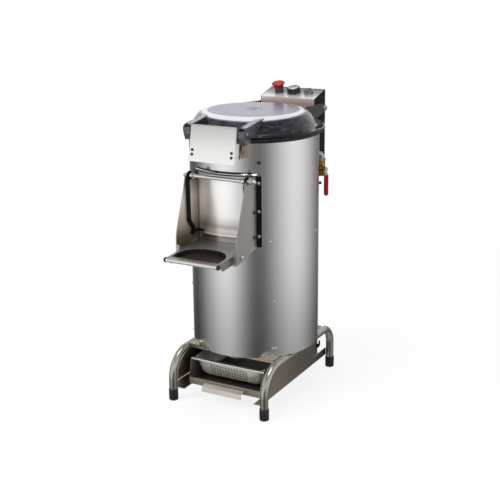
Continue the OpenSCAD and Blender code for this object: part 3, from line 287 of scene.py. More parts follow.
def slab(outline: np.ndarray, low: float, high: float, normal: str = "x") -> Skin:
    """Gives a flat outline a thickness along an axis.

    Args:
        outline: points, in (y, z) for a slab along X, (x, z) along Y and (x, y) along Z.
        low: where it starts on the axis.
        high: where it ends.
        normal: the axis, "x", "y" or "z".

    Returns:
        The closed surface: two flat faces and the walls between them.
    """
    number = "xyz".index(normal)
    count = len(outline)
    walls = patch(np.stack([np.insert(outline, number, level, axis=1) for level in (low, high)]),
                  loop_columns=True)
    walls.faces += [list(range(count))[::-1], list(range(count, 2 * count))]
    return walls


def hexagon_radius(angle: np.ndarray, radius: float) -> np.ndarray:
    """Gives a regular hexagon's radius at each angle, from its radius at the corners.

    Args:
        angle: the angles, in radians.
        radius: the radius at the corners, the first of which lies at angle 0.

    Returns:
        The distance to a side, over the cosine of the angle from that side's middle.
    """
    sector = np.pi / 3
    return radius * math.cos(sector / 2) / np.cos(np.mod(angle, sector) - sector / 2)


def socket_screw(radius: float, height: float, recess: float) -> Skin:
    """A domed screw head with a hexagon socket in its top, standing on z = 0.

    Args:
        radius: the head's radius.
        height: the head's height.
        recess: the socket's radius at its corners.

    Returns:
        The surface: rings round the axis, whose radius in the socket is a hexagon's.
    """
    angle = angles(24)
    socket = hexagon_radius(angle, recess)
    rings = [(radius, 0), (radius, 0.3), (radius * 0.97, 0.5), (radius * 0.82, 0.83),
             (radius * 0.6, 0.97), (1.12 * socket, 1), (socket, 0.94), (0.94 * socket, 0.4),
             (TIP, 0.35)]
    return turned([(out, up * height) for out, up in rings], angle)


def acorn_nut(radius: float, flat: float, height: float) -> Skin:
    """A hexagon nut with a domed cap, standing on z = 0.

    Args:
        radius: the hexagon's radius at its corners.
        flat: the hexagon's height.
        height: the whole height.

    Returns:
        The surface: rings whose radius goes from a hexagon's to a circle's, then a quarter ellipse.
    """
    angle = angles(36)
    hexagon = hexagon_radius(angle, radius)
    eased, cap, start = np.minimum(hexagon, radius * 0.9), radius * 0.86, flat + 0.05
    rings = [(TIP, 0.0), (eased, 0.0), (hexagon, 0.5), (hexagon, flat - 0.6), (eased, flat),
             (cap, start)]
    rings += [(cap * math.cos(turn) + TIP, start + (height - flat) * math.sin(turn))
              for turn in np.linspace(0, np.pi / 2, 8)[1:]]
    return turned(rings, angle)


def washer(radius: float, bore: float, height: float) -> Skin:
    """A flat washer with eased edges, standing on z = 0.

    Args:
        radius: its radius.
        bore: the hole's radius.
        height: its height.

    Returns:
        The surface.
    """
    e = min(0.4, height / 3)
    return lathe([(bore, 0), (radius - e, 0), (radius, e), (radius, height - e),
                  (radius - e, height), (bore, height)], 40, ring=True)


def capped_nut(plate_r: float, plate_h: float, radius: float, flat: float, height: float,
               bore: float = 1.0) -> Skin:
    """A domed nut on a washer, standing on z = 0.

    Args:
        plate_r: the washer's radius.
        plate_h: the washer's height.
        radius: the nut's radius at its corners.
        flat: the height of the nut's hexagon.
        height: the nut's whole height.
        bore: the washer's hole's radius.

    Returns:
        The surface: the nut's foot lies a tenth of a millimetre inside the washer.
    """
    return (washer(plate_r, bore, plate_h)
            + acorn_nut(radius, flat, height).placed((0, 0, plate_h - SEAT)))


# ------------------------------------------------------------------ colour and nodes

def linear(code: str) -> tuple[float, float, float, float]:
    """Turns an sRGB hex colour into linear light.

    Args:
        code: six hex digits, such as "c8c8c6".

    Returns:
        Red, green and blue in linear light, and an alpha of 1.
    """
    values = [int(code[i:i + 2], 16) / 255 for i in (0, 2, 4)]
    light = [v / 12.92 if v <= 0.04045 else ((v + 0.055) / 1.055) ** 2.4 for v in values]
    return (light[0], light[1], light[2], 1.0)


def fill(tree: bpy.types.NodeTree, node: bpy.types.Node, sockets: dict) -> None:
    """Sets a node's inputs, by name or number, to a value or to the output socket that feeds it.

    Args:
        tree: the node tree.
        node: the node.
        sockets: input name or number to a value or an output socket.
    """
    for name, value in sockets.items():
        if isinstance(value, bpy.types.NodeSocket):
            tree.links.new(value, node.inputs[name])
        else:
            node.inputs[name].default_value = value


def add_node(tree: bpy.types.NodeTree, kind: str, sockets: dict | None = None,
             **settings: object) -> bpy.types.Node:
    """Adds one shader node, sets its options and fills its inputs.

    Args:
        tree: the node tree.
        kind: the node's type name without "ShaderNode".
        sockets: input name or number to a value or an output socket.
        settings: the node's own options.

    Returns:
        The new node.
    """
    node = tree.nodes.new("ShaderNode" + kind)
    for name, value in settings.items():
        setattr(node, name, value)
    fill(tree, node, sockets or {})
    return node


class Grain(Enum):
    """Which way a brushed sheet's fine lines run: the factor on X, Y and Z is small along them."""

    ROUND = (0.02, 0.02, 1.0)
    UPRIGHT = (1.0, 1.0, 0.02)
    ACROSS = (0.02, 1.0, 1.0)
    DEEP = (1.0, 0.02, 1.0)


@dataclass
class Graph:
    """A material's node tree and its shader, with the steps that every finish is made of."""

    tree: bpy.types.NodeTree
    shader: bpy.types.Node

    def place(self, scale: tuple[float, float, float] = (1, 1, 1),
              start_mm: tuple[float, float] = (0, 0)) -> Socket:
        """Gives the piece's own coordinates in metres, times a scale, from a start in X and Y.

        Args:
            scale: factor on X, Y and Z.
            start_mm: the start's X and Y.

        Returns:
            The coordinates' socket.
        """
        coords = add_node(self.tree, "TexCoord")
        return add_node(self.tree, "Mapping", {
            "Vector": coords.outputs["Object"], "Scale": scale,
            "Location": (-start_mm[0] * MM, -start_mm[1] * MM, 0)}).outputs["Vector"]

    def noise(self, size_mm: float, detail: float,
              stretch: tuple[float, float, float] = (1, 1, 1)) -> Socket:
        """Gives a grey noise, about 0.5 on average.

        Args:
            size_mm: the width of one feature.
            detail: how many finer octaves it has.
            stretch: factor on X, Y and Z before the noise.

        Returns:
            The noise's socket.
        """
        return add_node(self.tree, "TexNoise", {
            "Vector": self.place(stretch), "Scale": 1.0 / (size_mm * MM),
            "Detail": detail, "Roughness": 0.55}).outputs["Fac"]

    def span(self, source: Socket, low: float, high: float, start: float = 0.3,
             end: float = 0.7) -> Socket:
        """Maps a factor from start..end to low..high, and holds it there outside.

        Args:
            source: the factor's socket.
            low: the result at start and below.
            high: the result at end and above.
            start: the factor where the result leaves low.
            end: the factor where it reaches high.

        Returns:
            The result's socket.
        """
        return add_node(self.tree, "MapRange", {
            "Value": source, "From Min": start, "From Max": end,
            "To Min": low, "To Max": high}).outputs["Result"]

    def tint(self, factor: Socket | float, first: Socket | str, second: Socket | str,
             **settings: object) -> Socket:
        """Mixes two colours, each a socket or a hex code. Factor 0 is the first, 1 the second.

        Args:
            factor: a socket or a number.
            first: the colour at 0.
            second: the colour at 1.
            settings: the mix node's own options.

        Returns:
            The colour's socket.
        """
        first, second = (linear(c) if isinstance(c, str) else c for c in (first, second))
        return add_node(self.tree, "Mix", {"Factor": factor, 6: first, 7: second},
                        data_type="RGBA", **settings).outputs[2]

    def emboss(self, height: Socket, depth_mm: float) -> None:
        """Feeds a height pattern of 0 to 1, so many millimetres deep, to the shader's normal.

        Args:
            height: the pattern's socket.
            depth_mm: how deep a height of 1 is.
        """
        bump = add_node(self.tree, "Bump", {"Height": height, "Distance": depth_mm * MM,
                                            "Strength": 1.0})
        self.feed({"Normal": bump.outputs["Normal"]})

    def feed(self, sockets: dict) -> None:
        """Sets the shader's own inputs."""
        fill(self.tree, self.shader, sockets)


@dataclass(frozen=True)
class Finish:
    """A finish of the machine: its name, its main colour and how rough it is."""

    name: str
    colour: str
    rough: float

    def build(self, graph: Graph) -> None:
        """Adds this finish's pattern to a fresh material.

        Args:
            graph: the material's graph.
        """

    def material(self) -> bpy.types.Material:
        """Makes the material once and returns it each time."""
        made = bpy.data.materials.get(self.name)
        if not made:
            made = bpy.data.materials.new(self.name)
            made.use_nodes = True
            graph = Graph(made.node_tree, made.node_tree.nodes["Principled BSDF"])
            graph.feed({"Base Color": linear(self.colour), "Roughness": self.rough})
            self.build(graph)
        return made


@dataclass(frozen=True)
class BrushedSteel(Finish):
    """Stainless sheet with a brushed grain: long fine lines, a soft sheen and faint cloudy marks.

    Where it has tone stops, a ramp along one axis multiplies its colour: on the cheeks' inner
    faces, the panel and the drawer it is painted shade and painted light. Each stop is a distance
    in mm from the frame's origin along that axis, and the hex colour that multiplies the steel's
    there.
    """

    shade: str = "a8a8a6"
    grain: Grain = Grain.UPRIGHT
    grain_mm: float = 1.2
    depth_mm: float = 0.0012
    metal: float = 1.0
    tone_stops: tuple[tuple[float, str], ...] = ()
    tone_axis: str = "Z"
    cloud_mm: float = 120.0

    def toned(self, graph: Graph, tone: Socket) -> Socket:
        """Multiplies the clean steel's colour by the ramp of its tone stops.

        Args:
            graph: the material's graph.
            tone: the clean steel's colour.

        Returns:
            The colour's socket.
        """
        split = add_node(graph.tree, "SeparateXYZ", {"Vector": graph.place()})
        first, last = self.tone_stops[0][0], self.tone_stops[-1][0]
        along = graph.span(split.outputs[self.tone_axis], 0, 1, first * MM, last * MM)
        ramp = add_node(graph.tree, "ValToRGB", {"Fac": along})
        stops = ramp.color_ramp.elements
        while len(stops) < len(self.tone_stops):
            stops.new(0.5)
        for stop, (place, code) in zip(stops, self.tone_stops):
            stop.position = (place - first) / (last - first)
            stop.color = linear(code)
        return graph.tint(1.0, tone, ramp.outputs["Color"], blend_type="MULTIPLY")

    def build(self, graph: Graph) -> None:
        """Clouds mix the two tones, and the grain moves roughness and height.

        Args:
            graph: the material's graph.
        """
        lines = graph.noise(self.grain_mm, 4.0, self.grain.value)
        clouds = graph.noise(self.cloud_mm, 2.0)
        both = add_node(graph.tree, "Mix", {"Factor": 0.35, "A": clouds, "B": lines}
                        ).outputs["Result"]
        tone = graph.tint(graph.span(both, 0, 1), self.shade, self.colour)
        graph.feed({"Metallic": self.metal,
                    "Base Color": self.toned(graph, tone) if self.tone_stops else tone,
                    "Roughness": graph.span(both, self.rough - 0.02, self.rough + 0.03)})
        if self.depth_mm:
            graph.emboss(lines, self.depth_mm)


@dataclass(frozen=True)
class PolishedSteel(Finish):
    """Turned or drawn stainless, buffed bright: sharp reflections with hairline scratches."""

    scratch_mm: float = 2.5

    def build(self, graph: Graph) -> None:
        """Sparse smears lift the roughness, and hairlines give a slight height.

        Args:
            graph: the material's graph.
        """
        smear = graph.noise(14.0, 3.0)
        graph.feed({"Metallic": 1.0,
                    "Roughness": graph.span(smear, self.rough * 0.7, self.rough * 1.6)})
        graph.emboss(graph.noise(self.scratch_mm, 3.0, (0.15, 1.0, 1.0)), 0.006)


@dataclass(frozen=True)
class PowderCoat(Finish):
    """Sheet steel with a baked powder coat: an even colour with a faint orange-peel skin."""

    coat: float = 0.05
    sheen: float = 0.3
    peel_mm: float = 2.2

    def build(self, graph: Graph) -> None:
        """A fine noise gives the peel, a wide one moves the roughness.

        Args:
            graph: the material's graph.
        """
        wide = graph.noise(35.0, 2.0)
        graph.feed({"Coat Weight": self.coat, "Coat Roughness": 0.25,
                    "Specular IOR Level": self.sheen,
                    "Roughness": graph.span(wide, self.rough - 0.05, self.rough + 0.08)})
        graph.emboss(graph.noise(self.peel_mm, 2.0), 0.03)


@dataclass(frozen=True)
class Moulded(Finish):
    """Injection-moulded plastic: a fine spark-eroded texture, a little glossier where rubbed."""

    shade: str = "101011"
    texture_mm: float = 0.9
    depth_mm: float = 0.02
    sheen: float = 0.5

    def build(self, graph: Graph) -> None:
        """Wide noise mixes two near tones, and fine noise gives the texture.

        Args:
            graph: the material's graph.
        """
        wide = graph.noise(22.0, 2.0)
        graph.feed({"IOR": 1.53, "Specular IOR Level": self.sheen,
                    "Base Color": graph.tint(graph.span(wide, 0, 1), self.shade, self.colour),
                    "Roughness": graph.span(wide, self.rough - 0.06, self.rough + 0.08)})
        graph.emboss(graph.noise(self.texture_mm, 2.0), self.depth_mm)


@dataclass(frozen=True)
class Rubber(Finish):
    """Moulded or extruded black rubber: matt, with a chalky bloom and dust in its texture."""

    bloom: str = "2c2c2e"

    def build(self, graph: Graph) -> None:
        """A wide noise lays the bloom on the black, a fine one roughens it.

        Args:
            graph: the material's graph.
        """
        bloomed = graph.span(graph.noise(18.0, 4.0), 0, 1, 0.45, 0.8)
        graph.feed({"IOR": 1.52, "Specular IOR Level": 0.35,
                    "Base Color": graph.tint(bloomed, self.colour, self.bloom)})
        graph.emboss(graph.noise(1.4, 3.0), 0.04)


@dataclass(frozen=True)
class Polycarbonate(Finish):
    """Smoke-tinted polycarbonate, injection moulded: dark but clear, glossy, with flow waves."""

    clear: float = 0.80
    gloss: float = 0.5
    sheen: float = 0.4
    wave_mm: float = 45.0
    wave_deep_mm: float = 0.06
    streak: str = "5d5866"

    def mottled(self, graph: Graph) -> Socket:
        """Mixes the tint with paler streaks of dried starch, longer round the lid than up it."""
        smear = graph.noise(self.wave_mm, 4.0, (1.0, 1.0, 3.0))
        return graph.tint(graph.span(smear, 0, 1, 0.42, 0.66), self.colour, self.streak)

    def build(self, graph: Graph) -> None:
        """Light passes through the tint, and wide waves move its gloss.

        Args:
            graph: the material's graph.
        """
        wave = graph.noise(60.0, 2.0)
        graph.feed({"IOR": 1.585, "Specular IOR Level": self.sheen,
                    "Transmission Weight": self.clear, "Coat Weight": self.gloss,
                    "Coat IOR": 1.5, "Coat Roughness": 0.06,
                    "Roughness": graph.span(wave, self.rough * 0.8, self.rough * 1.5),
                    "Base Color": self.mottled(graph)})
        graph.emboss(graph.noise(self.wave_mm, 1.0), self.wave_deep_mm)


@dataclass(frozen=True)
class SatinTop(Polycarbonate):
    """The lid's smoked polycarbonate: a satin top whose pale lavender is partly a painted
    reflection, a pale shoulder band that is a painted highlight, and a brim darkened by painted
    shade.
    """

    # the satin top's lavender, partly a painted reflection
    top: str = "68647b"
    # painted highlight: the shoulder band's pale tint
    band: str = "cdcad4"
    axis_mm: tuple[float, float] = (0.0, 37.7614)
    top_r: float = 138.0
    band_r: float = 150.5
    band_mm: tuple[float, float] = (4.0, 26.5)
    brim_r: float = 189.0
    satin: float = 0.26
    dull: str = "8c8a90"
    # painted shade: the brim's darker tint
    brim: str = "1d1b21"
    brim_dull: str = "6a686e"

    def past(self, graph: Graph, centre_mm: tuple[float, float], radius: float,
             soft: float) -> Socket:
        """Steps from 0 to 1 where the distance from an upright line passes a radius, in mm.

        Args:
            graph: the material's graph.
            centre_mm: the line's X and Y in the frame.
            radius: the radius, in millimetres.
            soft: the width of the step, in millimetres.

        Returns:
            The step's socket.
        """
        away = add_node(graph.tree, "VectorMath", {0: graph.place((1, 1, 0), centre_mm)},
                        operation="LENGTH")
        return graph.span(away.outputs["Value"], 0, 1, radius * MM, (radius + soft) * MM)

    def build(self, graph: Graph) -> None:
        """Three steps outwards change the tint, and how clear it is: past the top, band and side.

        The pale band is a painted highlight. It lies round a point in front of the drum's axis, so
        it is wider at the front. Past the brim, painted shade darkens the tint.

        Args:
            graph: the material's graph.
        """
        super().build(graph)
        top = self.past(graph, self.axis_mm, self.top_r, 1.5)
        band = self.past(graph, self.band_mm, self.band_r, 6)
        brim = self.past(graph, self.axis_mm, self.brim_r, 2)
        # painted reflection and highlight: the top's lavender, then the band's pale tint
        pale = graph.tint(top, self.top, self.band)
        side = graph.tint(band, pale, self.mottled(graph))
        clear = add_node(graph.tree, "Mix", {"Factor": band, 2: graph.span(top, 0.45, 0.12, 0, 1),
                                             3: self.clear})
        glint = graph.tint(band, "ffffff", self.dull)
        # painted shade: past the brim radius the tint turns dark
        graph.feed({"Base Color": graph.tint(brim, side, self.brim),
                    "Transmission Weight": clear.outputs[0],
                    "Specular Tint": graph.tint(brim, glint, self.brim_dull),
                    "Roughness": graph.span(band, self.satin, self.rough, 0, 1),
                    "Coat Roughness": graph.span(band, self.satin, self.rough, 0, 1),
                    "Coat Weight": graph.span(band, 0.5, self.gloss, 0, 1)})


@dataclass(frozen=True)
class Grit(Finish):
    """Silicon carbide grit bonded to the wall and the disc: sharp dark grains with pale facets."""

    pale: str = "6d6a66"
    grit_mm: float = 3.0

    def build(self, graph: Graph) -> None:
        """Cells a grain wide carry their own tone and stand out as bumps.

        Args:
            graph: the material's graph.
        """
        cells = add_node(graph.tree, "TexVoronoi", {
            "Vector": graph.place(), "Scale": 1.0 / (self.grit_mm * MM)}).outputs["Distance"]
        graph.feed({"Base Color": graph.tint(graph.span(cells, 0, 1, 0.1, 0.6),
                                             self.pale, self.colour)})
        graph.emboss(cells, -0.8)


@dataclass(frozen=True)
class CastMetal(Finish):
    """Sand-cast iron or brass, partly machined: a grainy skin with duller hollows."""

    dull: str = "3a3b3c"
    skin_mm: float = 1.6

    def build(self, graph: Graph) -> None:
        """Grain and stain noises mix two tones and roughen the skin.

        Args:
            graph: the material's graph.
        """
        stain = graph.noise(9.0, 4.0)
        graph.feed({"Metallic": 1.0,
                    "Base Color": graph.tint(graph.span(stain, 0, 1), self.dull, self.colour),
                    "Roughness": graph.span(stain, self.rough - 0.08, self.rough + 0.1)})
        graph.emboss(graph.noise(self.skin_mm, 3.0), 0.05)


# Rolled 304 sheet, belt-brushed upright: smooth tall bands of light, no visible flaws.
SHELL_STEEL = BrushedSteel(
    "brushed_stainless_shell", "dadadb", 0.19, "d6d6d7", Grain.UPRIGHT, 1.6, 0.0)
# Folded 304 sheet, brushed lengthways: a warm, soft sheen, its colour darker towards the rear.
SHEET_STEEL = BrushedSteel(
    "brushed_stainless_sheet", "c8bcb0", 0.32, "b4a89c", Grain.DEEP, 1.4, tone_stops=(
        (-205, "ffffff"), (-85, "f4f2f0"), (185, "b4b0ac")), tone_axis="Y")
# Welded 304 tube, brushed and bent: tight bright streaks with dark sides.
TUBE_STEEL = BrushedSteel("brushed_stainless_tube", "b6b1a9", 0.25, "a49e96", Grain.DEEP, 1.0)
# Laser-cut 304 plate, brushed upright: an even mid grey with a light cut edge.
CHEEK_STEEL = BrushedSteel(
    "brushed_stainless_cheek", "aeaba8", 0.36, "9f9b97", Grain.UPRIGHT, 1.3, metal=0.9)
# The cheeks' inner faces: a paler, warmer copy of the cheek steel, painted light for the light
# bounced between the cheeks, and painted shade and reflection along Z: dark low down, brightest
# at mid height, darker again at the top.
INNER_CHEEK_PAINTED_LIGHT = BrushedSteel(
    "inner_cheek_painted_light_and_shade", "fcefe2", 0.38, "f0e2d3", Grain.UPRIGHT, 1.3, metal=0.66, tone_stops=(
        (480, "5e5852"), (530, "807a74"), (570, "e0dcd8"), (640, "ffffff"), (712, "8e8a86")))
# Pressed 304, satin-ground: near-white, slightly dimmer towards the top of the latch.
SATIN_STEEL = BrushedSteel(
    "satin_stainless_latch", "f8f8f6", 0.36, "f0f0ee", Grain.ACROSS, 1.2, tone_stops=(
        (750, "ffffff"), (800, "f2f2f2"), (858, "cccccc")))
# Rolled 304, satin-blasted inside the chute: pale, with a darker band low down.
DOOR_STEEL = BrushedSteel(
    "satin_stainless_door", "ffffff", 0.34, "f8f8f6", Grain.UPRIGHT, 1.2, metal=0.84, tone_stops=(
        (531, "fff8f2"), (547, "fffaf6"), (557, "c8c4c0"), (570, "e6e4e2"), (590, "ffffff")))
# Folded 304, brushed across: a painted highlight along the front fold, and painted shade that
# darkens it towards the back and between the controls.
PANEL_STEEL = BrushedSteel(
    "brushed_stainless_panel", "fcfaf8", 0.33, "f2f0ee", Grain.ACROSS, 1.2, metal=0.72, tone_stops=(
        (860, "e4cec4"), (875, "f0e2d8"), (879, "ffffff"), (883, "eaeaec"), (889, "a6a6ac"),
        (899, "7c7c86")))
# Folded 304, brushed across and scuffed by potatoes: a dull middle grey.
TRAY_STEEL = BrushedSteel(
    "brushed_stainless_tray", "968f88", 0.36, "928d87", Grain.ACROSS, 1.4, metal=0.88)
# Folded 304, brushed across: a bright handle, and painted shade that darkens the box behind it
# under the drum.
DRAWER_STEEL = BrushedSteel(
    "brushed_stainless_drawer", "f0eae2", 0.34, "e2dbd1", Grain.ACROSS, 1.4, metal=0.8, tone_stops=(
        (-188, "ffffff"), (-169, "ffffff"), (-165, "9e9a95"), (190, "8c8883")), tone_axis="Y")
# Deep-drawn 304: a stretched, milky surface that stays light in the shade.
PAN_STEEL = BrushedSteel(
    "pressed_stainless_pan", "dad5cd", 0.32, "c8c2b9", Grain.ACROSS, 1.4, metal=0.68)
# Spot-welded 304 left with its heat tint: a straw-to-brown colour.
BRACKET_STEEL = BrushedSteel(
    "heat_tinted_stainless_bracket", "b29c8b", 0.34, "96806f", Grain.UPRIGHT, 1.2)
# Drawn stainless pipe, lightly brushed along its length.
PIPE_STEEL = BrushedSteel("drawn_stainless_pipe", "b9b6b0", 0.33, "a5a19a", Grain.UPRIGHT, 1.0)
# Ground carbon steel of shafts and bearings: fine rings round the axis.
GROUND_STEEL = BrushedSteel("ground_carbon_steel", "b0b1b2", 0.28, "98999b", Grain.ROUND, 0.8)
# Chemically blackened screws: dark, with a dull metal glint on the edges.
DARK_STEEL = BrushedSteel("blackened_steel", "5c5c5e", 0.36, "454547", Grain.ROUND, 1.0)
# Turned aluminium disc in the knob: bright, with fine lines.
INLAY = BrushedSteel("turned_aluminium_inlay", "d8d8da", 0.24, "cacacc", Grain.ACROSS, 0.8)
# Buffed stainless bar: sharp reflections and hairline scratches.
POLISHED = PolishedSteel("polished_stainless", "dededd", 0.10)
# Plain turned stainless screws and nuts: bright, slightly smeared.
FASTENER = PolishedSteel("plain_stainless_fastener", "cfcfcd", 0.18)
# Capped stainless nuts of the strips, a little duller than the screws.
NUT_STEEL = PolishedSteel("turned_stainless_nut", "b2b2b0", 0.2)
# Brass plug with a bronze patina: brown and half dull.
BRONZED = CastMetal("bronzed_brass", "6b4a3c", 0.42, "47302a")
# Black powder coat baked on strips and arms: deep black, next to no shine.
BLACK_COAT = PowderCoat("black_powder_coat", "0b0b0d", 0.55, 0.0, 0.12)
# Textured black powder coat of the control column: charcoal under light.
COLUMN_COAT = PowderCoat("black_textured_powder_coat", "0c0c0e", 0.5, 0.0, 0.1, 1.6)
# Stoved enamel on the motor: grey-blue with an orange-peel skin.
MOTOR_COAT = PowderCoat("grey_blue_enamel", "5c6b75", 0.38)
# Screen-printed grey ink on the panel: flat and matt.
PRINT = PowderCoat("grey_panel_print", "3c3c3e", 0.5, 0.0, 0.3, 1.0)
# The pan's drain holes: dark discs with no shine, painted shade in place of open holes.
HOLE_SHADE = PowderCoat("drain_hole_painted_shade", "141210", 0.6, 0.0, 0.2, 3.0)
# Black ABS from a spark-eroded mould: charcoal with a fine texture.
BLACK_ABS = Moulded("black_abs_moulded", "232325", 0.42, "1a1a1c")
# Dark grey ABS of the same mould texture.
GREY_ABS = Moulded("grey_abs_moulded", "4c4c4f", 0.42, "404043")
# Brown-black polypropylene dish in the tray's hand hole: its near-black is partly painted
# shade, standing in for the dark seen through the hole.
DISH_SHADE = Moulded("brown_black_dish_painted_shade", "1e1815", 0.5, "16110f", sheen=0.35)
# Extruded grey PVC: even grey, a waxy shine.
DUCT_PVC = Moulded("grey_pvc_pipe", "8f9092", 0.40, "84868a")
# Red ABS of the emergency stop: saturated, a soft highlight on the cap.
RED_ABS = Moulded("red_abs_moulded", "8e0c16", 0.36, "860c16", 1.2, 0.01, 0.35)
# Vinyl dipped on the lever: crimson, thick and slightly glossy.
RED_VINYL = Moulded("red_dipped_vinyl", "8e0618", 0.4, "7c0414", 1.5, 0.02, 0.1)
# Green acrylic cap, unlit: a dull grey-green.
GREEN_CAP = Moulded("green_acrylic_cap", "3e5246", 0.5, "485e50", 2.0, 0.005, 0.2)
# Moulded rubber feet: matt black with a chalky bloom.
BLACK_RUBBER = Rubber("black_moulded_rubber", "161617", 0.62)
# Extruded rubber seals and belt: black, smoother than the feet.
SEAL_RUBBER = Rubber("black_extruded_rubber", "121213", 0.50, "1f1f21")
# Smoked polycarbonate lugs and arms: dark, with paler streaks of dried starch.
SMOKE = Polycarbonate("smoked_polycarbonate", "2a262f", 0.12, 0.55, 0.5, 0.4, 7.0, 0.9, "77727f")
# The lugs' thin grip ribs, tinted pale: a painted highlight along their crests.
RIB_HIGHLIGHT_SMOKE = Polycarbonate("smoked_grip_rib_painted_highlight", "bcb8c4", 0.2, 0.15, 0.5, 0.6, 7.0, 0.9, "e4e2ea")
# The hinge arms' ribbed polycarbonate, tinted near-black: painted shade, a darker copy of the
# lugs' smoke.
ARM_SHADE_SMOKE = Polycarbonate("smoked_hinge_arm_painted_shade", "141116", 0.14, 0.3, 0.25, 0.25, 7.0, 0.9, "3a363c")
# The lid: a satin lavender-grey top, partly a painted reflection; a pale shoulder band, a painted
# highlight; a dark half-clear side; and a brim darkened by painted shade.
LID_SMOKE = SatinTop(
    "satin_smoked_polycarbonate", "322e37", 0.08, 0.7, 0.2, 0.4, 24.0, 0.7, "6a6571")
# Silicon carbide bonded to the wall and disc: black grains with tiny glints.
GRIT = Grit("bonded_carbide_grit", "2a2826", 0.75)
# Machined cast iron: grey, with a granular skin.
CAST_IRON = CastMetal("machined_cast_iron", "6f7072", 0.50, "525355")
# Tumbled brass valve body: brown gold, darker in the hollows.
BRASS = CastMetal("tumbled_brass", "b0863c", 0.34, "75561f")
# Chromed zinc ring of the start button: dark mirror with bright rims.
CHROME = PolishedSteel("chromed_zinc_bezel", "80808a", 0.12)


# ------------------------------------------------------------------ the bench where pieces are made

CREASE = 32.0  # degrees: edges sharper than this are rounded and shaded as edges
FLAT = 0.4  # degrees: a copied node's triangles that meet flatter than this are joined
MERGE = 2e-6  # metres: nearer points of a surface are one point, and twice that on a copy


def linked(name: str, data: bpy.types.ID) -> bpy.types.Object:
    """Makes an object of a mesh, a camera or a lamp, and links it to the scene.

    Args:
        name: the object's name.
        data: its mesh, camera or lamp.

    Returns:
        The object.
    """
    made = bpy.data.objects.new(name, data)
    bpy.context.scene.collection.objects.link(made)
    return made


@contextmanager
def worked(mesh: bpy.types.Mesh, doubles: float) -> Iterator[bmesh.types.BMesh]:
    """Opens a mesh for edits, merges points nearer than doubles in metres, and writes it back.

    Args:
        mesh: the mesh.
        doubles: the distance, in metres.

    Returns:
        The mesh, open for edits, while the block runs.
    """
    work = bmesh.new()
    work.from_mesh(mesh)
    bmesh.ops.remove_doubles(work, verts=work.verts, dist=doubles)
    yield work
    work.to_mesh(mesh)
    work.free()


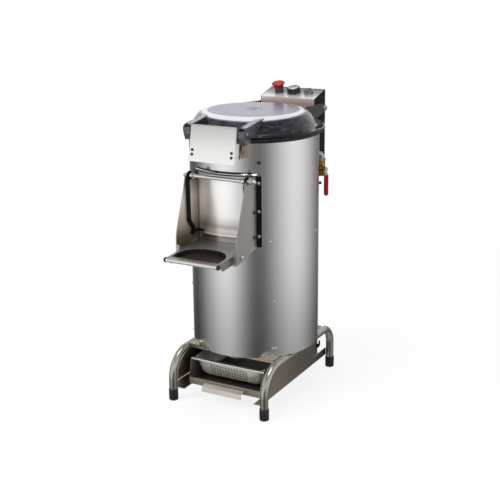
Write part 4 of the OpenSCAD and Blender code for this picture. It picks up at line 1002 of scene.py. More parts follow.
@dataclass
class Bench:
    """Turns surfaces into pieces, in the frame's place, and puts each on its body."""

    nodes: dict[str, bpy.types.Object]
    record: dict
    axis: Vector
    body_of: dict[str, str] = field(default_factory=dict)
    slot_of: dict[str, str] = field(default_factory=dict)

    def __post_init__(self) -> None:
        """Looks up each node's body and material slot in the record."""
        for body, names in self.record["behaviour"]["bodies"].items():
            self.body_of.update({name: body for name in names})
        for part in self.record["subparts"]:
            self.slot_of[part["node"]] = part["material_slot"]

    def dress(self, node: str, finish: Finish) -> None:
        """Gives a carried-over node its finish.

        Args:
            node: the node's name.
            finish: its finish.
        """
        data = self.nodes[node].data
        data.materials.clear()
        data.materials.append(finish.material())

    def mount(self, name: str, mesh: bpy.types.Mesh, finish: Finish, node: str, hides: bool,
              bevel: float, angle: float = CREASE, segments: int = 2, wall: float = 0.0,
              slot: str = "") -> bpy.types.Object:
        """Makes a mesh a piece: shades it, finishes its edges and puts it on a node's body.

        Args:
            name: the piece's name.
            mesh: its mesh, in metres in the frame.
            finish: its finish.
            node: the node whose body it takes.
            hides: whether it stands for that node.
            bevel: how far its sharp edges are rounded, in millimetres.
            angle: edges sharper than this, in degrees, are rounded and shaded as edges.
            segments: steps in a rounded edge.
            wall: for an open sheet, its thickness in millimetres, laid behind its face.
            slot: not used.

        Returns:
            The piece.
        """
        mesh.shade_smooth()
        mesh.set_sharp_from_angle(angle=math.radians(angle))
        mesh.materials.append(finish.material())
        piece = linked(name, mesh)
        if wall:
            sheet = piece.modifiers.new("sheet", "SOLIDIFY")
            sheet.thickness = wall * MM
            sheet.offset = -1.0
            sheet.use_even_offset = True
        if bevel:
            edge = piece.modifiers.new("edge", "BEVEL")
            edge.width = bevel * MM
            edge.segments = segments
            edge.limit_method = "ANGLE"
            edge.angle_limit = math.radians(angle)
            edge.use_clamp_overlap = True
            edge.harden_normals = True
        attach(piece, self.body_of[node])
        slot or self.slot_of[node]
        if hides:
            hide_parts(node)
        LOG.info("%s: %d faces on %s", name, len(mesh.polygons), self.body_of[node])
        return piece

    def put(self, name: str, skin: Skin, finish: Finish, node: str, hides: bool = False,
            bevel: float = 0.0, angle: float = CREASE, wall: float = 0.0,
            slot: str = "") -> bpy.types.Object:
        """Makes a piece of a surface.

        Doubled points are merged first, and on a closed surface the faces are turned outwards.

        Args:
            skin: the surface, in millimetres in the drum's frame.
            name, finish, node, hides, bevel, angle, wall, slot: as for mount.

        Returns:
            The piece.
        """
        points = skin.points * MM + np.array(self.axis)
        mesh = bpy.data.meshes.new(name)
        mesh.from_pydata(points.tolist(), [], skin.faces)
        with worked(mesh, MERGE) as work:
            if not wall:
                bmesh.ops.recalc_face_normals(work, faces=work.faces)
        return self.mount(name, mesh, finish, node, hides, bevel, angle, wall=wall, slot=slot)

    def soften(self, node: str, finish: Finish, bevel: float,
               segments: int = 2) -> bpy.types.Object:
        """Stands a copy of a node in its place, with its edges rounded as a made part's are.

        The copy's doubled points are merged and its flat triangles joined first.

        Args:
            node, finish, bevel, segments: as for mount.

        Returns:
            The piece.
        """
        mesh = self.nodes[node].data.copy()
        mesh.materials.clear()
        for layer in list(mesh.uv_layers):
            mesh.uv_layers.remove(layer)
        with worked(mesh, 2 * MERGE) as work:
            bmesh.ops.dissolve_limit(work, angle_limit=math.radians(FLAT), verts=work.verts,
                                     edges=work.edges)
        if "custom_normal" in mesh.attributes:
            mesh.attributes.remove(mesh.attributes["custom_normal"])
        return self.mount(node + "_made", mesh, finish, node, True, bevel, segments=segments)

    def soften_all(self, *rows: tuple[str, Finish, float]) -> None:
        """Softens several nodes: a row gives a node, its finish and its bevel in millimetres."""
        for row in rows:
            self.soften(*row)

    def refinish_facing(self, piece: bpy.types.Object, finish: Finish, way: Sequence[float]) -> None:
        """Gives a second finish to a piece's faces that look one way: on the cheeks, a finish with
        painted light and shade for their inner sides.

        Args:
            piece: the piece.
            finish: the second finish.
            way: the direction; faces whose normal is within about 25 degrees of it are changed.
        """
        mesh = piece.data
        mesh.materials.append(finish.material())
        normals = np.empty(len(mesh.polygons) * 3)
        mesh.polygons.foreach_get("normal", normals)
        facing = normals.reshape(-1, 3) @ np.asarray(way, float) > 0.9
        mesh.polygons.foreach_set("material_index", facing.astype(np.int32))
        mesh.update()

    def drawn_in(self, piece: bpy.types.Object, front: float, rear: float, to: float) -> None:
        """Makes a piece less deep, so that a cover and its screws fit behind it.

        Every point's distance behind the front is scaled alike, so flat faces stay flat.

        Args:
            piece: the piece.
            front: the Y that stays, in millimetres of the drum's frame.
            rear: the Y of its rear face.
            to: the Y its rear face moves to.
        """
        mesh = piece.data
        points = np.empty(len(mesh.vertices) * 3)
        mesh.vertices.foreach_get("co", points)
        start = front * MM + self.axis[1]
        points[1::3] = start + (points[1::3] - start) * (to - front) / (rear - front)
        mesh.vertices.foreach_set("co", points)
        mesh.update()


# ------------------------------------------------------------------ sub-assemblies

@dataclass
class Stand:
    """Two bent tubes on rubber feet, with the plate, side panels and drawer's rails between."""

    bench: Bench
    gauge: float = 158.0
    tube_r: float = 12.5
    front: float = -243.0
    rear: float = 215.0
    height: float = 144.5
    front_bend: float = 78.0
    rear_bend: float = 60.0
    sole: float = 6.0
    foot_r: float = 14.3
    foot_h: float = 36.0
    clip_in: float = 145.2

    def hoop(self, side: int) -> Skin:
        """Carries a circle along the hoop's path: a leg, a bend, the level run, a bend, a leg.

        Args:
            side: -1 for the left one, 1 for the right.

        Returns:
            The surface.
        """
        first = arc((self.front + self.front_bend, self.height - self.front_bend),
                    self.front_bend, 180, 90, 24)
        last = arc((self.rear - self.rear_bend, self.height - self.rear_bend),
                   self.rear_bend, 90, 0, 24)
        flat = np.vstack([[(self.front, self.sole), (self.front, self.foot_h)], first, last,
                          [(self.rear, self.foot_h), (self.rear, self.sole)]])
        path = np.insert(flat, 0, side * self.gauge, axis=1)
        return sweep(circle(self.tube_r, 40), path, (1, 0, 0))

    def feet(self) -> Skin:
        """Turns a sleeve with a rounded sole, two grip grooves and a lip, for each of four legs.

        Returns:
            The surface.
        """
        r, h = self.foot_r, self.foot_h
        outline = [(TIP, 0.2), (r - 3.0, 0.0), (r - 1.2, 0.5), (r - 0.3, 1.6), (r, 3.2), (r, 7.0),
                   (r - 0.7, 7.4), (r - 0.7, 8.4), (r, 8.8), (r, 11.0), (r - 0.7, 11.4),
                   (r - 0.7, 12.4), (r, 12.8), (r, h - 1.4), (r - 0.4, h - 0.4), (r - 1.0, h),
                   (self.tube_r + 0.05, h - 0.2), (self.tube_r + 0.05, h - 4)]
        sleeve = lathe(outline, 48)
        return joined([sleeve.placed((x, y, 0)) for x in (-self.gauge, self.gauge)
                       for y in (self.front, self.rear)])

    def clips(self) -> Skin:
        """The black cable clips on the rear edges of the side panels: a pad with a hooked end.

        Returns:
            The surface.
        """
        outline = rounded([(140, 88), (157, 88), (160, 92), (160, 108), (155, 108), (155, 99),
                           (140, 99)], [1, 2, 2, 1.5, 1.5, 2, 1], 5)
        return slab(outline, self.clip_in, self.clip_in + 4.0).both()

    def build(self) -> None:
        """Makes the stand's pieces."""
        put = self.bench.put
        for name, side in (("left", -1), ("right", 1)):
            put(name + "_tube", self.hoop(side), TUBE_STEEL, name + "_hoop", hides=True)
        put("foot_sleeves", self.feet(), BLACK_RUBBER, "rubber_feet", hides=True)
        self.bench.soften_all(("base_plate", SHEET_STEEL, 1.0), ("side_panels", SHEET_STEEL, 0.9),
                              ("drawer_rails", SHEET_STEEL, 0.8))
        put("panel_clips", self.clips(), BLACK_COAT, "side_panels", bevel=0.5, slot="black_metal")


@dataclass
class Drum:
    """The round shell with its liner, trims, the door's surround and the screws that hold it."""

    bench: Bench
    shell_r: float = 195.0
    floor_row: float = 516.0
    middle_row: float = 333.0
    foot_row: float = 184.0
    screw_r: float = 3.9
    screw_h: float = 2.5
    plug_at: tuple[float, float] = (-57.5, 751.0)
    stub_at: tuple[float, float] = (38.0, 639.0)

    def on_shell(self, skin: Skin, angle: float, z: float) -> Skin:
        """Puts a small part on the shell at an angle and a height, with its Z pointing outwards.

        Args:
            skin: the surface, standing on its own z = 0.
            angle: the angle round the drum, in degrees.
            z: the height.

        Returns:
            The surface.
        """
        way = (math.cos(math.radians(angle)), math.sin(math.radians(angle)), 0.0)
        radius = self.shell_r + SEAT
        return skin.placed((radius * way[0], radius * way[1], z), axes_along(way))

    def screws(self) -> Skin:
        """Sets every pan-head screw of the shell in its row.

        Returns:
            The surface.
        """
        rows = {self.floor_row: (-48, 7.5, 68, 110, 172), self.middle_row: (-45, 45, 135, -151),
                self.foot_row: (-46.5, -43.8, 45, 90, 135, -148)}
        head = socket_screw(self.screw_r, self.screw_h, 2.0)
        return joined([self.on_shell(head, angle, z) for z, row in rows.items() for angle in row])

    def studs(self) -> Skin:
        """The turned plug beside the latch, and the hexagon stub beside the water valve.

        Returns:
            The surface.
        """
        plug = lathe([(TIP, 0), (5, 0), (5, 1.8), (4.4, 2.4), (3.6, 2.4), (3.6, 6.6), (3.0, 7.4),
                      (TIP, 7.4)], 32)
        stub = acorn_nut(7.0, 4.0, 5.0) + lathe([(TIP, 4), (4.5, 4), (4.5, 11.2), (3.8, 12),
                                               (3.0, 12), (2.6, 9), (TIP, 9)], 32)
        return self.on_shell(plug, *self.plug_at) + self.on_shell(stub, *self.stub_at)

    def build(self) -> None:
        """Makes the drum's pieces."""
        put = self.bench.put
        self.bench.soften_all(
            ("outer_shell", SHELL_STEEL, 0.4), ("top_ring", SHEET_STEEL, 0.4),
            ("chamber_floor", SHEET_STEEL, 0.5), ("opening_frame", POLISHED, 0.5),
            ("drum_trims", SEAL_RUBBER, 0.6), ("striker_brackets", BRACKET_STEEL, 0.8))
        self.bench.dress("chamber_liner", GRIT)
        put("shell_screw_heads", self.screws(), FASTENER, "shell_screws", angle=40)
        put("side_plugs", self.studs(), BRONZED, "side_studs", hides=True)


@dataclass
class Chute:
    """The two cheeks beside the door, the rod across them, the door and the tray under it."""

    bench: Bench
    cheek_out: float = 100.0
    bolt_in: float = 80.0
    rod_y: float = -217.0
    rod_z: float = 706.0
    rod_r: float = 5.5
    collar_in: float = 81.0
    collar_out: float = 91.4
    pivot_y: float = -263.0
    pivot_z: float = 497.0
    slope: float = 3.4
    tray_half: float = 86.0
    bar_y: float = -105.0
    bar_z: float = 3.5
    cap_r: float = 7.5
    strip_x: float = 107.0
    strip_r: float = 201.45
    nut_y: float = -186.0
    strip_zs: tuple[float, ...] = (536.0, 610.0, 692.0)

    def fittings(self) -> Skin:
        """Collars inside the cheeks, a ribbed spacer on the right and a capped nut at each end.

        Returns:
            The surface.
        """
        at = (self.rod_y, self.rod_z)
        bore = self.rod_r + 0.05
        long = self.collar_out - self.collar_in
        collar = lathe([(bore, 0), (7.6, 0), (8.4, 0.8), (8.4, long - 0.8), (7.6, long),
                        (bore, long)], 40, ring=True).placed((self.collar_in, *at), TO_RIGHT)
        grip_long, pitch = 9.8, 3.27
        depth = np.linspace(0, grip_long, 57)
        ribs = 8.5 + 0.7 * np.clip(2.2 * np.sin(depth * 2 * np.pi / pitch - 1.2), -1, 1)
        grip = lathe([(bore, 0), *zip(ribs, depth), (bore, grip_long)], 40, ring=True)
        nut = capped_nut(8.5, 2.0, 7.6, 6.2, 12.0)
        start = self.cheek_out + SEAT
        return joined([collar.both(), grip.placed((start, *at), TO_RIGHT),
                       nut.placed((start + grip_long + SEAT, *at), TO_RIGHT),
                       nut.placed((start, *at), TO_RIGHT).mirrored()])

    def pivots(self) -> Skin:
        """The tray's two shoulder bolts, each with a washer and a capped nut outside the cheek.

        Returns:
            The surface.
        """
        at = (self.pivot_y, self.pivot_z)
        shank = lathe([(TIP, 0), (4, 0), (4, 20), (TIP, 20)], 24)
        bolt = (shank.placed((self.bolt_in, *at), TO_RIGHT)
                + washer(6.5, 3.9, 11.3).placed((self.bolt_in + 6.6, *at), TO_RIGHT)
                + capped_nut(7.5, 1.9, 6.4, 3.0, 5.1, 3.0).placed((self.cheek_out + SEAT, *at),
                                                                  TO_RIGHT))
        return bolt.both()

    def strip_bolts(self) -> Skin:
        """Three capped nuts on washers down each clamp strip.

        Returns:
            The surface.
        """
        nut = capped_nut(5.0, 1.3, 3.9, 1.8, 3.4)
        turn = math.asin(self.strip_x / self.strip_r)
        way = (math.sin(turn), -math.cos(turn), 0)
        x, y = self.strip_r * way[0], self.strip_r * way[1]
        return joined([nut.placed((x, y, z), axes_along(way)) for z in self.strip_zs]).both()

    def cheek_nuts(self) -> Skin:
        """Two blackened capped nuts beside each clamp strip, on the cheeks' outer faces. Their
        black is partly painted shade, standing in for the shade beside the strip's bolts.

        Returns:
            The surface.
        """
        nut = capped_nut(5.6, 1.2, 4.8, 2.4, 4.6)
        return joined([nut.placed((self.cheek_out - SEAT, self.nut_y, z), TO_RIGHT)
                       for z in self.strip_zs[:2]]).both()

    def on_tray(self, skin: Skin) -> Skin:
        """Puts a surface of the sloping tray's own frame in its place."""
        return skin.placed((0, self.pivot_y, self.pivot_z), tilted(self.slope))

    def caps(self) -> Skin:
        """The two end caps of the tray's bar: a ring, a rounded face and a small centre dimple.

        Returns:
            The surface.
        """
        r = self.cap_r
        cap = lathe([(TIP, 0), (r - 0.6, 0), (r, 0.6), (r, 4.2), (r - 0.8, 4.9), (r - 2, 4.9),
                     (r - 2, 7.0), (r - 2.8, 7.9), (1.6, 7.9), (0.9, 7.2), (TIP, 7.2)], 40)
        side = cap.placed((self.tray_half - 2.9, self.bar_y, self.bar_z), TO_RIGHT)
        return self.on_tray(side.both())

    def bar(self) -> Skin:
        """The polished bar along the tray's front edge, with eased ends.

        Returns:
            The surface.
        """
        half, r = self.tray_half - 3, 6.5
        rod = lathe([(TIP, -half), (r - 0.5, -half), (r, 0.5 - half), (r, half - 0.5),
                     (r - 0.5, half), (TIP, half)], 48)
        return self.on_tray(rod.placed((0, self.bar_y, self.bar_z), TO_RIGHT))

    def build(self) -> None:
        """Makes the chute's, the door's and the tray's pieces."""
        put, soften = self.bench.put, self.bench.soften
        # the cheeks' inner faces take a paler finish with painted light and painted shade
        for name, inwards in (("left_cheek", 1), ("right_cheek", -1)):
            self.bench.refinish_facing(soften(name, CHEEK_STEEL, 0.9), INNER_CHEEK_PAINTED_LIGHT, (inwards, 0, 0))
        # the tray dish's near-black is partly painted shade in the tray's hand hole
        self.bench.soften_all(
            ("clamp_strips", BLACK_COAT, 1.0), ("cross_rod", POLISHED, 0.8),
            ("door_panel", DOOR_STEEL, 0.7), ("door_arms", BLACK_COAT, 0.8),
            ("door_seal", SEAL_RUBBER, 0.5), ("tray_plate", TRAY_STEEL, 0.8),
            ("tray_dish", DISH_SHADE, 0.6))
        put("rod_ends", self.fittings(), FASTENER, "rod_fittings", hides=True)
        put("tray_pivots", self.pivots(), FASTENER, "tray_bolts", hides=True)
        nuts = put("strip_nuts", self.strip_bolts(), NUT_STEEL, "shell_screws")
        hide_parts("shell_screws")
        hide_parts("shell_screws")
        # the blackened nuts partly paint the shade beside the strip's bolts
        put("cheek_nuts", self.cheek_nuts(), DARK_STEEL, "right_cheek", slot="dark_fasteners")
        put("tray_front_bar", self.bar(), POLISHED, "tray_bar", hides=True)
        put("tray_bar_caps", self.caps(), BLACK_ABS, "bar_caps", hides=True)


@dataclass
class Lid:
    """The smoked lid with its hollow lugs and arms, its gasket, and the latch on its nose."""

    bench: Bench
    flange_r: float = 212.0
    flange_z: float = 819.0
    flange_t: float = 8.0
    dome_r: float = 186.0
    top_r: float = 150.0
    top_z: float = 873.0
    lug_z: float = 870.0
    lug_y: float = -124.0
    lug_rear: float = -98.0
    wall: float = 4.0
    lug_in: float = 77.0
    lug_out: float = 99.0
    nose_r: float = 17.0
    arm_in: float = 98.0
    arm_out: float = 110.0
    hinge_y: float = 260.0
    hinge_z: float = 846.0
    hinge_r: float = 13.0
    arm_y: float = 96.0
    gasket_z: float = 814.3
    latch_y: float = -219.0
    latch_z: float = 840.0
    tilt: float = 10.5
    half: float = 75.0
    top: float = 16.9
    foot: float = -87.8
    reach: float = 18.4
    back: float = 2.6
    ear_r: float = 9.0
    sheet: float = 2.0

    def dome(self) -> Skin:
        """Turns the lid's wall: a nearly flat top, a rounded shoulder, a side and a flat brim.

        The outline goes up the outside with rounded corners, across the top, and back down the
        inside a wall's thickness away. A shallow ring is pressed round the middle of the top.

        Returns:
            The surface.
        """
        top, deck = self.top_z, self.flange_z + self.flange_t
        outer = rounded([(self.dome_r - self.wall, self.flange_z), (self.flange_r, self.flange_z),
                         (self.flange_r, deck), (self.dome_r + 1, deck),
                         (self.top_r + 27.5, top - 25), (self.top_r + 16, top - 9.5),
                         (self.top_r + 3, top - 2.6), (self.top_r - 12, top - 0.4), (30, top)],
                        [0, 1.2, 2.6, 4.0, 7.0, 6.0, 6.0, 4.0, 0], 8, closed=False)
        ring = [(26, top - 0.1), (24.8, top - 0.9), (23.6, top - 0.1), (22, top), (11, top),
                (10, top - 0.7), (9, top - 0.1), (TIP, top)]
        bore = self.dome_r - self.wall
        inner = rounded([(bore, self.flange_z), (bore, deck - 1),
                         (self.top_r + 23.5, top - 26.5), (self.top_r + 12, top - 13),
                         (self.top_r - 2, top - self.wall), (TIP, top - self.wall)],
                        [0, 4, 5, 4, 3, 0], 7, closed=False)[::-1]
        return lathe([*outer, *ring, *inner], 160)

    def roof(self, y: float | np.ndarray) -> float | np.ndarray:
        """Gives the height of a lug's roof, which rises evenly from the nose to the back."""
        rise = (self.lug_z - self.latch_z - self.nose_r) / (self.lug_y - self.latch_y - 2)
        return self.latch_z + self.nose_r + rise * (y - self.latch_y)

    def lug(self) -> Skin:
        """A hollow lug on the right: two side walls, a smooth roof, a nose plate and cross webs.

        Each wall is the same outline with rounded corners, given a thickness along X.

        Returns:
            The surface.
        """
        nose_y, z, r, wall = self.latch_y, self.latch_z, self.nose_r, 2.2
        deck, peak, rear = self.flange_z + self.flange_t - 1, self.lug_z, self.lug_rear
        tip = nose_y - r
        side = rounded([(tip, z + r - 1.2), (self.lug_y, peak), (rear, peak), (rear, deck),
                        (-194, deck), (nose_y + 15, z - 28), (nose_y - 8, z - 29), (tip, z - 8)],
                       [12, 10, 2, 1, 3, 5, 8, 8], 6)
        inner = (self.lug_in + wall, self.lug_out - wall)
        parts = [slab(side, self.lug_in, inner[0]), slab(side, inner[1], self.lug_out)]
        for y in (-207.0, -190.0, -168.0, -146.0, -122.0, -100.0):
            foot = z - 24 if y < -200 else deck - 0.5
            crest = min(self.roof(y) - 2, peak - 1)
            parts.append(slab(box_outline(y - 1.1, y + 1.1, foot, crest), *inner))
        plate = np.array([(nose_y - 4, z + r - 3.6), (self.lug_y, peak - 2.4), (rear, peak - 2.4),
                          (rear, peak - 0.2), (self.lug_y, peak - 0.2), (nose_y - 4, z + r - 1.4)])
        front = rounded([(tip + 0.4, z + 9), (tip + 2.6, z + 9), (tip + 2.6, z - 10),
                         (nose_y - 5, z - 26), (nose_y - 7, z - 27.4), (tip + 0.4, z - 10)], 0.8, 4)
        boss = lathe([(4.1, 0), (9.5, 0), (9.5, 17.6), (4.1, 17.6)], 32, ring=True)
        return joined([*parts, slab(plate, *inner), slab(front, *inner),
                       boss.placed((inner[0], nose_y, z), TO_RIGHT)])

    def ribs(self) -> Skin:
        """Nine grip ribs across the right lug's sloping roof, 10 mm apart.

        Returns:
            The surface.
        """
        y = self.latch_y + 8 + 10 * np.arange(9)
        low, high = self.lug_in + 1, self.lug_out - 1
        return joined([slab(rounded([(at - 1, up - 2), (at + 1, up - 2), (at + 0.9, up + 1.6),
                                     (at - 0.9, up + 1.5)], 0.5, 4), low, high)
                       for at, up in zip(y, self.roof(y) - 0.6)])

    def arm(self) -> Skin:
        """A hollow hinge arm on the right: two side walls, a rim between, webs and a bored end.

        Returns:
            The surface.
        """
        wall, y, z, r = 2.0, self.hinge_y, self.hinge_z, self.hinge_r
        low, high = self.arm_in + wall, self.arm_out - wall
        end = arc((y, z), r, 75, -90, 16)
        top, heel = [(self.arm_y, 861), (126, 868)], [(206, 823)]
        side = np.vstack([[(self.arm_y, 825)], top, end, heel, [(180, 825)]])
        edge = np.vstack([top, end, heel])
        way = np.gradient(edge, axis=0)
        inward = np.stack([way[:, 1], -way[:, 0]], -1) / np.linalg.norm(way, axis=1, keepdims=True)
        rim = np.vstack([edge + 0.2 * inward, (edge + 2.2 * inward)[::-1]])
        webs = [slab(box_outline(at - 1, at + 1, 827, 858), low, high)
                for at in (120, 150, 180, 210)]
        boss = lathe([(6.1, 0), (r - 1.6, 0), (r - 1.6, 8), (6.1, 8)], 32, ring=True)
        return joined([slab(side, self.arm_in, low), slab(side, high, self.arm_out),
                       slab(rim, low, high), *webs, boss.placed((low, y, z), TO_RIGHT)])

    def gasket(self) -> Skin:
        """Turns the gasket under the brim: a rounded outer bead, a groove and a flat inner lip.

        Returns:
            The surface.
        """
        low, r = self.gasket_z, self.flange_r
        outline = rounded([(181, low + 1.0), (184, low + 1.0), (186, low), (r - 3.0, low), (r, low),
                           (r, low + 4.6), (181, low + 4.6)], [0.4, 0.4, 0.6, 0, 2.0, 1.4, 0.4], 5)
        return lathe(outline, 160, ring=True)

    def plate(self) -> Skin:
        """The latch's pressed plate: a front face, side flanges with ears, and a folded top lip.

        A row runs at one height from the left flange's rear edge, round the left bend, across the
        front and round the right bend to the right flange's rear edge. The rear edge lies at the
        flange's depth, plus a circle round the pin's ear, less a quarter circle at the foot.

        Returns:
            The surface.
        """
        bend, corner = 3.2, 15.0
        crest = self.top - bend
        z = np.unique(np.concatenate([np.linspace(self.foot, self.foot + corner, 14),
                                      np.linspace(self.foot + corner, crest, 24),
                                      np.linspace(-self.ear_r, self.ear_r, 17)]))
        rise = np.clip(corner - (z - self.foot), 0, corner)
        rear = self.back - (corner - np.sqrt(corner ** 2 - rise ** 2))
        ear = np.sqrt(np.clip(self.ear_r ** 2 - z ** 2, 0, None))
        rear = np.where(np.abs(z) < self.ear_r, np.maximum(rear, ear), rear)
        front = -self.reach
        flange = np.linspace(0, 1, 6)[:-1]
        turn = arc((bend - self.half, front + bend), bend, 180, 270, 7)
        face = np.linspace(bend - self.half, self.half - bend, 25)[1:-1]
        left_y = rear[:, None] + flange * (front + bend - rear[:, None])
        ones = np.ones((len(z), 1))
        x = np.hstack([-self.half * np.ones_like(left_y), ones * turn[:, 0], ones * face,
                       ones * -turn[::-1, 0], self.half * np.ones_like(left_y)])
        y = np.hstack([left_y, ones * turn[:, 1], ones * (0 * face + front),
                       ones * turn[::-1, 1], left_y[:, ::-1]])
        sheet = patch(np.stack([x, y, z[:, None] + 0 * x], -1))
        fold = np.vstack([arc((front + bend, crest), bend, 180, 90, 7), [(front + 12, self.top)]])
        wide = np.concatenate([[bend - self.half], face, [self.half - bend]])
        grid = np.stack(np.broadcast_arrays(wide[None, :], fold[:, :1], fold[:, 1:]), -1)
        return sheet + patch(grid)

    def bolts(self) -> Skin:
        """The four countersunk socket screws of the hooks, and their nuts behind the plate.

        Returns:
            The surface.
        """
        head = socket_screw(4.4, 2.4, 2.3)
        nut = acorn_nut(4.0, 2.4, 3.0)
        spots = [(side * (self.half - 11), z) for side in (-1, 1) for z in (-55, -68)]
        return joined([head.placed((x, 0.05 - self.reach, z), TO_FRONT)
                       + nut.placed((x, self.sheet + 2.7 - self.reach, z), TO_REAR)
                       for x, z in spots])

    def on_latch(self, skin: Skin) -> Skin:
        """Puts a surface of the latch's own frame in its closed place."""
        return skin.placed((0, self.latch_y, self.latch_z), tilted(-self.tilt))

    def build(self) -> None:
        """Makes the lid's and the latch's pieces."""
        put, soften = self.bench.put, self.bench.soften
        # the dome's finish paints a reflection on the top, a highlight on the shoulder and shade on
        # the brim
        put("lid_dome", self.dome(), LID_SMOKE, "lid", hides=True, angle=50)
        put("lid_lugs", self.lug().both(), SMOKE, "lid", bevel=0.4, angle=40)
        # the ribs' pale tint is a painted highlight on their crests
        put("lug_ribs", self.ribs().both(), RIB_HIGHLIGHT_SMOKE, "lid", angle=40)
        # the arms' near-black tint is painted shade
        put("lid_arms", self.arm().both(), ARM_SHADE_SMOKE, "lid", bevel=0.4, angle=40)
        put("lid_ring_seal", self.gasket(), SEAL_RUBBER, "lid_gasket", hides=True, angle=50)
        put("latch_cover", self.on_latch(self.plate()), SATIN_STEEL, "latch_plate", hides=True,
            bevel=0.5, angle=40, wall=self.sheet)
        soften("latch_hooks", SHEET_STEEL, 0.7)
        put("latch_screws", self.on_latch(self.bolts()), DARK_STEEL, "latch_bolts", hides=True,
            angle=40)
        soften("latch_pins", FASTENER, 0.7)


@dataclass
class Column:
    """The black control column behind the drum, with its sloping panel and the three controls."""

    bench: Bench
    control_y: float = 260.5
    control_z: float = 888.5
    slope: float = 14.89
    pitch: float = 52.0
    front: float = 221.0
    back: float = 300.0
    half: float = 95.0
    foot: float = 680.0
    crest: float = 893.0
    stop_x: float = -49.0
    stop_r: float = 21.0
    knob_r: float = 21.0
    knob_h: float = 18.0
    bezel_r: float = 14.0
    tick_r: float = 25.6
    cover_t: float = 1.9

    def on_panel(self, skin: Skin, number: int) -> Skin:
        """Stands a control's surface on the sloping panel: 0, 1 or 2 from the left."""
        at = np.array((self.stop_x + number * self.pitch, self.control_y, self.control_z))
        return skin.placed(at, tilted(self.slope))

    def stop(self) -> Skin:
        """Turns the emergency stop: a stem in a hollow head, a flared skirt and a soft rim.

        Returns:
            The surface.
        """
        r = self.stop_r
        rim = rounded([(15.7, 22.4), (r - 0.4, 26.4), (r, 28.6), (r - 2.6, 31.0), (r - 4, 31.0)],
                      [0.8, 1.2, 1.4, 1.6, 0], 6, closed=False)
        return lathe([(TIP, -10), (6, -10), (6, 16.6), (13.6, 16.6), (13.6, 12.9), (14.1, 12.4),
                      (14.6, 12.4), (15.2, 13.0), *rim, (r - 4.6, 30.5), (TIP, 30.3)], 64)

    def collar(self) -> Skin:
        """The stop's collar: a flange, then a sleeve whose radius waves in and out nine times.

        Returns:
            The surface.
        """
        angle = angles(144)
        wave = 11.0 + 2.2 * np.clip(3 * np.cos(9 * angle) - 0.6, -0.4, 1)
        return turned([(9.3, -14), (9.3, 0.1), (13.6, 0.1), (14, 0.5), (14, 1.6), (13.5, 2.0),
                       (wave, 2.2), (wave, 11.6), (wave - 0.8, 12.2), (6.6, 12.2), (6.6, -14)],
                      angle, ring=True)

    def knob(self) -> Skin:
        """The timer's knob: its radius dips in 30 round flutes up the side, and its rim is eased.

        At angle a the radius is the outline's, less the flute's depth times the square of cos 15a.

        Returns:
            The surface.
        """
        angle = angles(240)
        flute = 1.3 * np.cos(15 * angle) ** 2
        r, h = self.knob_r, self.knob_h
        outline = [(TIP, -8, 0), (4, -8, 0), (4, 1, 0), (r, 1, 0), (r + 0.5, 1.4, 0),
                   (r + 0.5, 3.0, 0), (r + 0.2, 3.4, 0.2), (r, 3.8, 1), (r - 0.5, h - 2.6, 1),
                   (r - 0.9, h - 1.6, 0.8), (r - 1.5, h - 0.7, 0.2), (r - 2.4, h - 0.2, 0),
                   (r - 3.2, h, 0), (r - 4, h, 0), (r - 4.2, h - 0.5, 0), (TIP, h - 0.5, 0)]
        return turned([(out - deep * flute, up) for out, up, deep in outline], angle)

    def knob_face(self) -> Skin:
        """The knob's bright inlay: a shallow dished disc with a fine raised rim.

        Returns:
            The surface.
        """
        r, h = self.knob_r - 4.2, self.knob_h
        return lathe([(TIP, h - 0.6), (r, h - 0.6), (r, h + 0.1), (r - 0.5, h + 0.35),
                      (r - 1.2, h + 0.1), (TIP, h - 0.1)], 72)

    def pointer(self) -> Skin:
        """The dark pointer let into the knob's rim.

        Returns:
            The surface.
        """
        r, h = self.knob_r, self.knob_h
        bar = rounded(box_outline(-1, 1, r - 9, r - 2.2), 0.9, 5)
        return slab(bar, h - 0.3, h + 0.8, "z")

    def ticks(self) -> Skin:
        """Thirteen printed strokes round the knob, 25 degrees apart, every fourth one longer.

        Returns:
            The surface.
        """
        strokes = []
        for index in range(13):
            turn = math.radians(240 - 25 * index)
            c, s = math.cos(turn), math.sin(turn)
            far = self.tick_r + (4.4 if index % 4 == 0 else 2.6)
            stroke = slab(box_outline(self.tick_r, far, -0.45, 0.45), 0.02, 0.12, "z")
            strokes.append(stroke.placed((0, 0, 0), np.array([[c, s, 0], [-s, c, 0], [0, 0, 1]])))
        return joined(strokes)

    def start_cap(self) -> Skin:
        """Turns the start button's cap: straight side, eased rim, slightly hollow top."""
        return lathe([(TIP, -8), (9, -8), (9, 13.9), (8.7, 14.9), (8.0, 15.6), (6.8, 15.8),
                      (4, 15.4), (TIP, 15.2)], 48)

    def bezel(self) -> Skin:
        """Turns the start button's bezel: a plain sleeve, a groove and a rounded lip.

        Returns:
            The surface.
        """
        r = self.bezel_r
        return lathe([(10.7, -14), (10.7, 0.1), (r - 0.4, 0.1), (r, 0.5), (r, 3.4), (r - 0.5, 3.8),
                      (r - 0.5, 4.6), (r, 5.0), (r, 9.4), (r - 0.4, 11.0), (r - 1.3, 12.8),
                      (r - 2.2, 13.5), (r - 3.6, 13.4), (9.5, 12.4), (9.5, -14)], 64, ring=True)

    def cover(self) -> Skin:
        """The column's rear cover: a plate with rounded corners and two rows of pressed louvres.

        Returns:
            The surface.
        """
        back, half = self.back - self.cover_t, self.half - 3.0
        plate = slab(rounded(box_outline(-half, half, self.foot + 3, self.crest), 6, 6),
                     back, back + 1.0, "y")
        slot = rounded(box_outline(-24, 24, -1.8, 1.8), 1.7, 6)
        ribs = [slab(slot + (x, z), back + 0.9, back + 1.7, "y") for x in (-34, 34)
                for z in self.foot + 34 + 9.0 * np.arange(8)]
        return joined([plate, *ribs])

